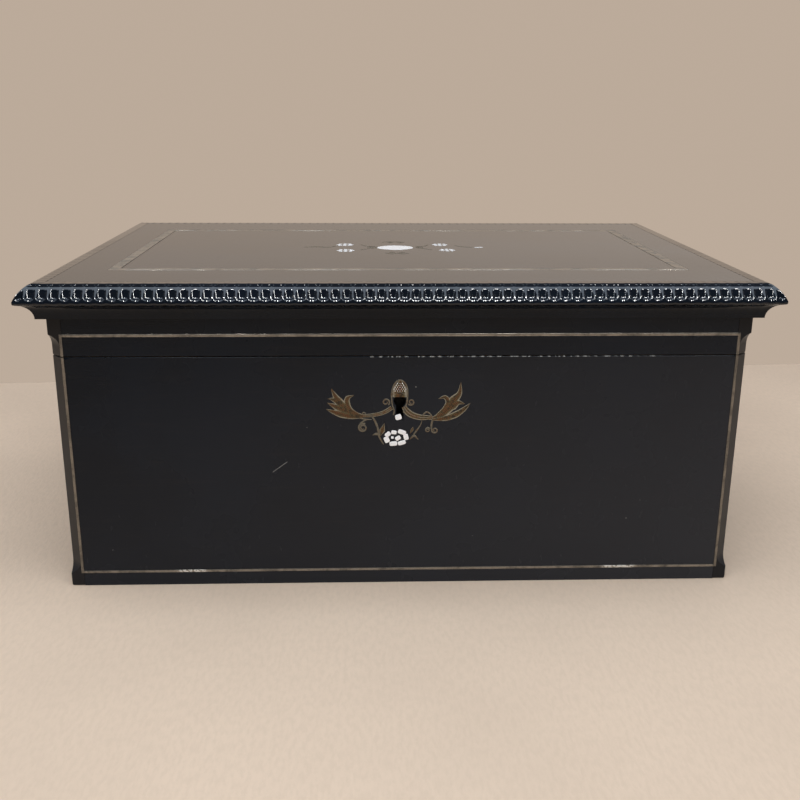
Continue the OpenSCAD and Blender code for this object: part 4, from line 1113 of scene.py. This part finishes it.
# Flowers of the lid, as centre and size; the rest as for the front, in x and y
LID_FLOWERS = [((-35, 12), 1.0), ((-34, -15), 1.0), ((30, 12), 0.9), ((33, -13), 0.9)]
LID_SHELLS = [((-1, -2), (12, 10), 0), ((55.5, 0), (3.0, 1.3), 0)]
LID_LINES = [
    ([(-24, 12), (-20, 5), (-15, 3), (-14, -3), (-18, -6), (-24, -12)], [0.4, 0.6, 0.6, 0.4]),
    ([(22, 12), (19, 5), (14, 3), (14, -3), (18, -6), (23, -12)], [0.4, 0.6, 0.6, 0.4]),
    ([(-62, 0), (-54, 2), (-46, 0), (-40, 6)], [0.2, 1.3, 0.9, 0.4]),
    ([(40, 8), (45, 2), (51, 0)], [0.4, 0.8, 0.4]),
    ([(-9, 24), (-5, 27), (-1, 25), (2, 27), (6, 24)], [0.4, 0.7, 0.6, 0.7, 0.4]),
    ([(-8, -26), (-4, -30), (0, -27), (3, -30), (7, -27)], [0.4, 0.7, 0.6, 0.7, 0.4]),
]
LID_CURLS = [((-17, 0), 2.6, 90, 1.2, 0.5), ((16, 0), 2.6, 90, 1.2, 0.5), ((-4, 22), 1.8, 0, 1.2, 0.45),
             ((3, 22), 1.8, 180, 1.2, 0.45), ((-4, -24), 1.8, 0, 1.2, 0.45), ((3, -24), 1.8, 180, 1.2, 0.45)]


def flower(centre, size):
    """Eight petals evenly round a centre, and an eye, as (place, radii, turn)."""
    petals = [((0, 0), (1.5, 1.4), 0)]
    for k in range(8):
        a = k * math.pi / 4
        petals.append(((4.4 * math.cos(a), 4.4 * math.sin(a)), (1.5, 1.35), math.degrees(a)))
    return [((centre[0] + size * x, centre[1] + size * y), (rx * size, ry * size), turn)
            for (x, y), (rx, ry), turn in petals]


class AddLidInlay(bpy.types.Operator):
    """Pearl oval, flowers and brass scrolls of the lid's top"""

    bl_idname = "deed_box.lid_inlay"
    bl_label = "Lid inlay"

    def execute(self, context):
        """Lays the oval, four flowers and a tip of pearl, and the scrolls and curls of brass."""
        proud = context.scene.deed_box_sizes.inlay_proud * 0.6
        shells = list(LID_SHELLS)
        for centre, size in LID_FLOWERS:
            shells += flower(centre, size)
        pearl = [pebble(*s, on_lid, proud, 2.0) for s in shells]
        scrolls = laid(LID_LINES, on_lid, proud, 0) + [swirl(*c, on_lid, proud) for c in LID_CURLS]
        make_piece("lid_pearl", pearl, mother_of_pearl("lid_pearl"), "lid", "mother_of_pearl",
                   "lid_pearl_inlay")
        make_piece("lid_scrolls", scrolls, engraved_brass("lid_line_brass", "line"), "lid", "inlaid_brass",
                   "lid_brass_scrolls")
        return {"FINISHED"}


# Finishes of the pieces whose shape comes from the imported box

class FinishBoards(bpy.types.Operator):
    """Polish of the sides and back, pine, paper and metal"""

    bl_idname = "deed_box.finish_boards"
    bl_label = "Board finishes"

    def execute(self, context):
        """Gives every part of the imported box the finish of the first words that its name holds, or else
        black polish."""
        tones = context.scene.deed_box_colours
        back_polish = black_polish("back_polish", 0.24, 0)
        finishes = [
            (black_polish("side_polish", 0.22, 1), ("left_veneer", "right_veneer")),
            (bare_pine("pine_long", 0), ("front_board", "back_board", "bottom_board", "front_rail", "back_rail",
                                         "panel")),
            (bare_pine("pine_deep", 1), ("left_board", "right_board", "left_rail", "right_rail")),
            (lining_paper("lining_paper"), ("lining",)),
            (fitting_metal("lock_steel", tuple(tones.steel)), ("lock_case", "lock_spring")),
            (fitting_metal("fitting_brass", tuple(tones.fitting_brass)),
             ("hinge", "lock", "link", "screws", "string", "band", "inlay", "scrolls", "flower")),
        ]
        for name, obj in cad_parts.items():
            material = next((m for m, words in finishes if any(word in name for word in words)), back_polish)
            obj.data.materials.clear()
            obj.data.materials.append(material)
        return {"FINISHED"}


# Stage

PANEL_PLACE, PANEL_SIZE, PANEL_COLOUR = (0, -0.48, 1.15), (1.8, 1.0), (0.82, 0.95, 1.10)
# Small lamps that only the gloss sees, as name, place along the front and turn to the side in degrees
SPARKS = (("spark_left", -0.29, -15), ("spark_middle", 0.20, 10), ("spark_right", 0.55, 32))
SPARK_Y, SPARK_Z, SPARK_TILT, SPARK_SIZE, SPARK_COLOUR = -0.82, 1.02, 38, 0.09, (1.0, 0.98, 0.95)
TABLE_HALF, TABLE_FRONT, TABLE_BACK_LEFT, TABLE_BACK_RIGHT = 2.2, -2.4, 0.165, 0.507
ROOM_LIGHT = 0.6
ROOM_GLOSS = 0.09
ROOM_COLOUR = (0.97, 1.0, 1.06)
# Heights of the view direction between which the wall fades for the gloss
WALL_TOP, WALL_FADE = 0.50, 0.38


class AddStage(bpy.types.Operator):
    """Camera, lamps, table and wall"""

    bl_idname = "deed_box.stage"
    bl_label = "Stage"

    def execute(self, context):
        """Sets up the view, a table that ends behind the box, the wall's colour and the soft lights."""
        add_camera(context)
        add_table(context)
        set_world(context)
        studio = context.scene.deed_box_studio
        add_panel("overhead", PANEL_PLACE, (0, 0, 0), PANEL_SIZE, studio.panel_power, PANEL_COLOUR)
        for name, x, turn in SPARKS:
            lamp = add_panel(name, (x, SPARK_Y, SPARK_Z), (math.radians(SPARK_TILT), 0, math.radians(turn)),
                             (SPARK_SIZE, SPARK_SIZE), studio.spark_power, SPARK_COLOUR)
            lamp.visible_diffuse = False
        context.scene.view_settings.view_transform = "Standard"
        return {"FINISHED"}


def add_camera(context):
    """A camera turned by yaw, then tilted by pitch, then turned about its line of view by roll."""
    studio = context.scene.deed_box_studio
    yaw, pitch, roll = studio.camera_yaw, studio.camera_pitch, studio.camera_roll
    forward = np.array([math.sin(yaw) * math.cos(pitch), math.cos(yaw) * math.cos(pitch), -math.sin(pitch)])
    level = np.array([math.cos(yaw), -math.sin(yaw), 0])
    upright = np.cross(level, forward)
    right = math.cos(roll) * level + math.sin(roll) * upright
    up = -math.sin(roll) * level + math.cos(roll) * upright
    data = bpy.data.cameras.new("camera")
    data.sensor_width = 36
    data.lens = studio.lens
    camera = bpy.data.objects.new("camera", data)
    turn = Matrix(np.stack([right, up, -forward], 1).tolist()).to_4x4()
    camera.matrix_world = Matrix.Translation(studio.camera_place) @ turn
    context.scene.collection.objects.link(camera)
    context.scene.camera = camera


def add_table(context):
    """A cloth-covered table top, level in front and to the sides, that ends behind the box."""
    tones = context.scene.deed_box_colours
    mesh = bpy.data.meshes.new("table")
    mesh.from_pydata([(-TABLE_HALF, TABLE_FRONT, 0), (TABLE_HALF, TABLE_FRONT, 0),
                      (TABLE_HALF, TABLE_BACK_RIGHT, 0), (-TABLE_HALF, TABLE_BACK_LEFT, 0)], [], [(0, 1, 2, 3)])
    f = Finish("table_cloth")
    weave = f.noise(420.0, (1, 0.35, 1), 3.0, 0.6)
    clouds = f.noise(7.0, detail=4.0)
    base = f.mix(clouds.rise(0.3, 0.7) * 0.35, tones.table, tinted(tones.table, 0.82))
    colour = f.mix(weave.rise(0.35, 0.7) * 0.3, base, tinted(tones.table, 0.8))
    f.bump(weave, 0.0006, 0.4)
    mesh.materials.append(f.finish(Base_Color=colour, Roughness=0.9))
    table = bpy.data.objects.new("table", mesh)
    context.scene.collection.objects.link(table)


def set_world(context):
    """Pale wall behind the table for what the camera and the gloss see, and plain dim light from all round."""
    tones = context.scene.deed_box_colours
    world = bpy.data.worlds.new("room")
    world.use_nodes = True
    context.scene.world = world
    tree = world.node_tree
    back = tree.nodes["Background"]
    path = tree.nodes.new("ShaderNodeLightPath")
    coordinates = tree.nodes.new("ShaderNodeTexCoord")
    parts = tree.nodes.new("ShaderNodeSeparateXYZ")
    tree.links.new(coordinates.outputs["Generated"], parts.inputs[0])
    camera = Shade(tree, path.outputs["Is Camera Ray"])
    passing = Shade(tree, path.outputs["Is Transmission Ray"])
    gloss = Shade(tree, path.outputs["Is Glossy Ray"]).math("MAXIMUM", passing)
    low = Shade(tree, parts.outputs["Z"]).rise(WALL_TOP, WALL_FADE)
    behind = Shade(tree, parts.outputs["Y"]).rise(-0.2, 0.5) * low
    share = (gloss * behind).math("MAXIMUM", camera)
    mix = tree.nodes.new("ShaderNodeMix")
    mix.data_type = "RGBA"
    tree.links.new(share.socket, mix.inputs[0])
    mix.inputs[6].default_value = (*ROOM_COLOUR, 1)
    mix.inputs[7].default_value = (*tones.wall, 1)
    tree.links.new(mix.outputs[2], back.inputs["Color"])
    level = share + (1.0 - share) * (ROOM_LIGHT - (ROOM_LIGHT - ROOM_GLOSS) * gloss)
    tree.links.new(level.socket, back.inputs["Strength"])


def add_panel(name, place, turn, size, power, colour):
    """A rectangular lamp that shines down before it is turned."""
    data = bpy.data.lights.new(name, "AREA")
    data.shape = "RECTANGLE"
    data.size, data.size_y = size
    data.energy = power
    data.color = colour
    lamp = bpy.data.objects.new(name, data)
    lamp.location = place
    lamp.rotation_euler = turn
    bpy.context.scene.collection.objects.link(lamp)
    return lamp


OPERATORS = (AddStage, FinishBoards, AddCornice, AddPosts, AddFrontPanels, AddStrings, AddLidTop, AddFrontInlay,
             AddLidInlay)


class DeedBoxPanel(bpy.types.Panel):
    """Lists the pieces of the box in the sidebar"""

    bl_idname = "VIEW3D_PT_deed_box"
    bl_label = "Deed Box"
    bl_space_type = "VIEW_3D"
    bl_region_type = "UI"
    bl_category = "Deed Box"

    def draw(self, context):
        for operator in OPERATORS:
            self.layout.operator(operator.bl_idname)
        for name in GROUPS:
            group = getattr(context.scene, name)
            for key in group.bl_rna.properties.keys():
                if key not in ("rna_type", "name"):
                    self.layout.prop(group, key)


GROUPS = {"deed_box_sizes": DeedBoxSizes, "deed_box_colours": DeedBoxColours, "deed_box_studio": DeedBoxStudio}
CLASSES = (*GROUPS.values(), *OPERATORS, DeedBoxPanel)


def register():
    for cls in CLASSES:
        bpy.utils.register_class(cls)
    for name, group in GROUPS.items():
        setattr(bpy.types.Scene, name, PointerProperty(type=group))


def unregister():
    for name in GROUPS:
        delattr(bpy.types.Scene, name)
    for cls in reversed(CLASSES):
        bpy.utils.unregister_class(cls)


def main():
    """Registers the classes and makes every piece."""
    register()
    for operator in OPERATORS:
        group, name = operator.bl_idname.split(".")
        getattr(getattr(bpy.ops, group), name)()


if __name__ == "__main__":
    main()
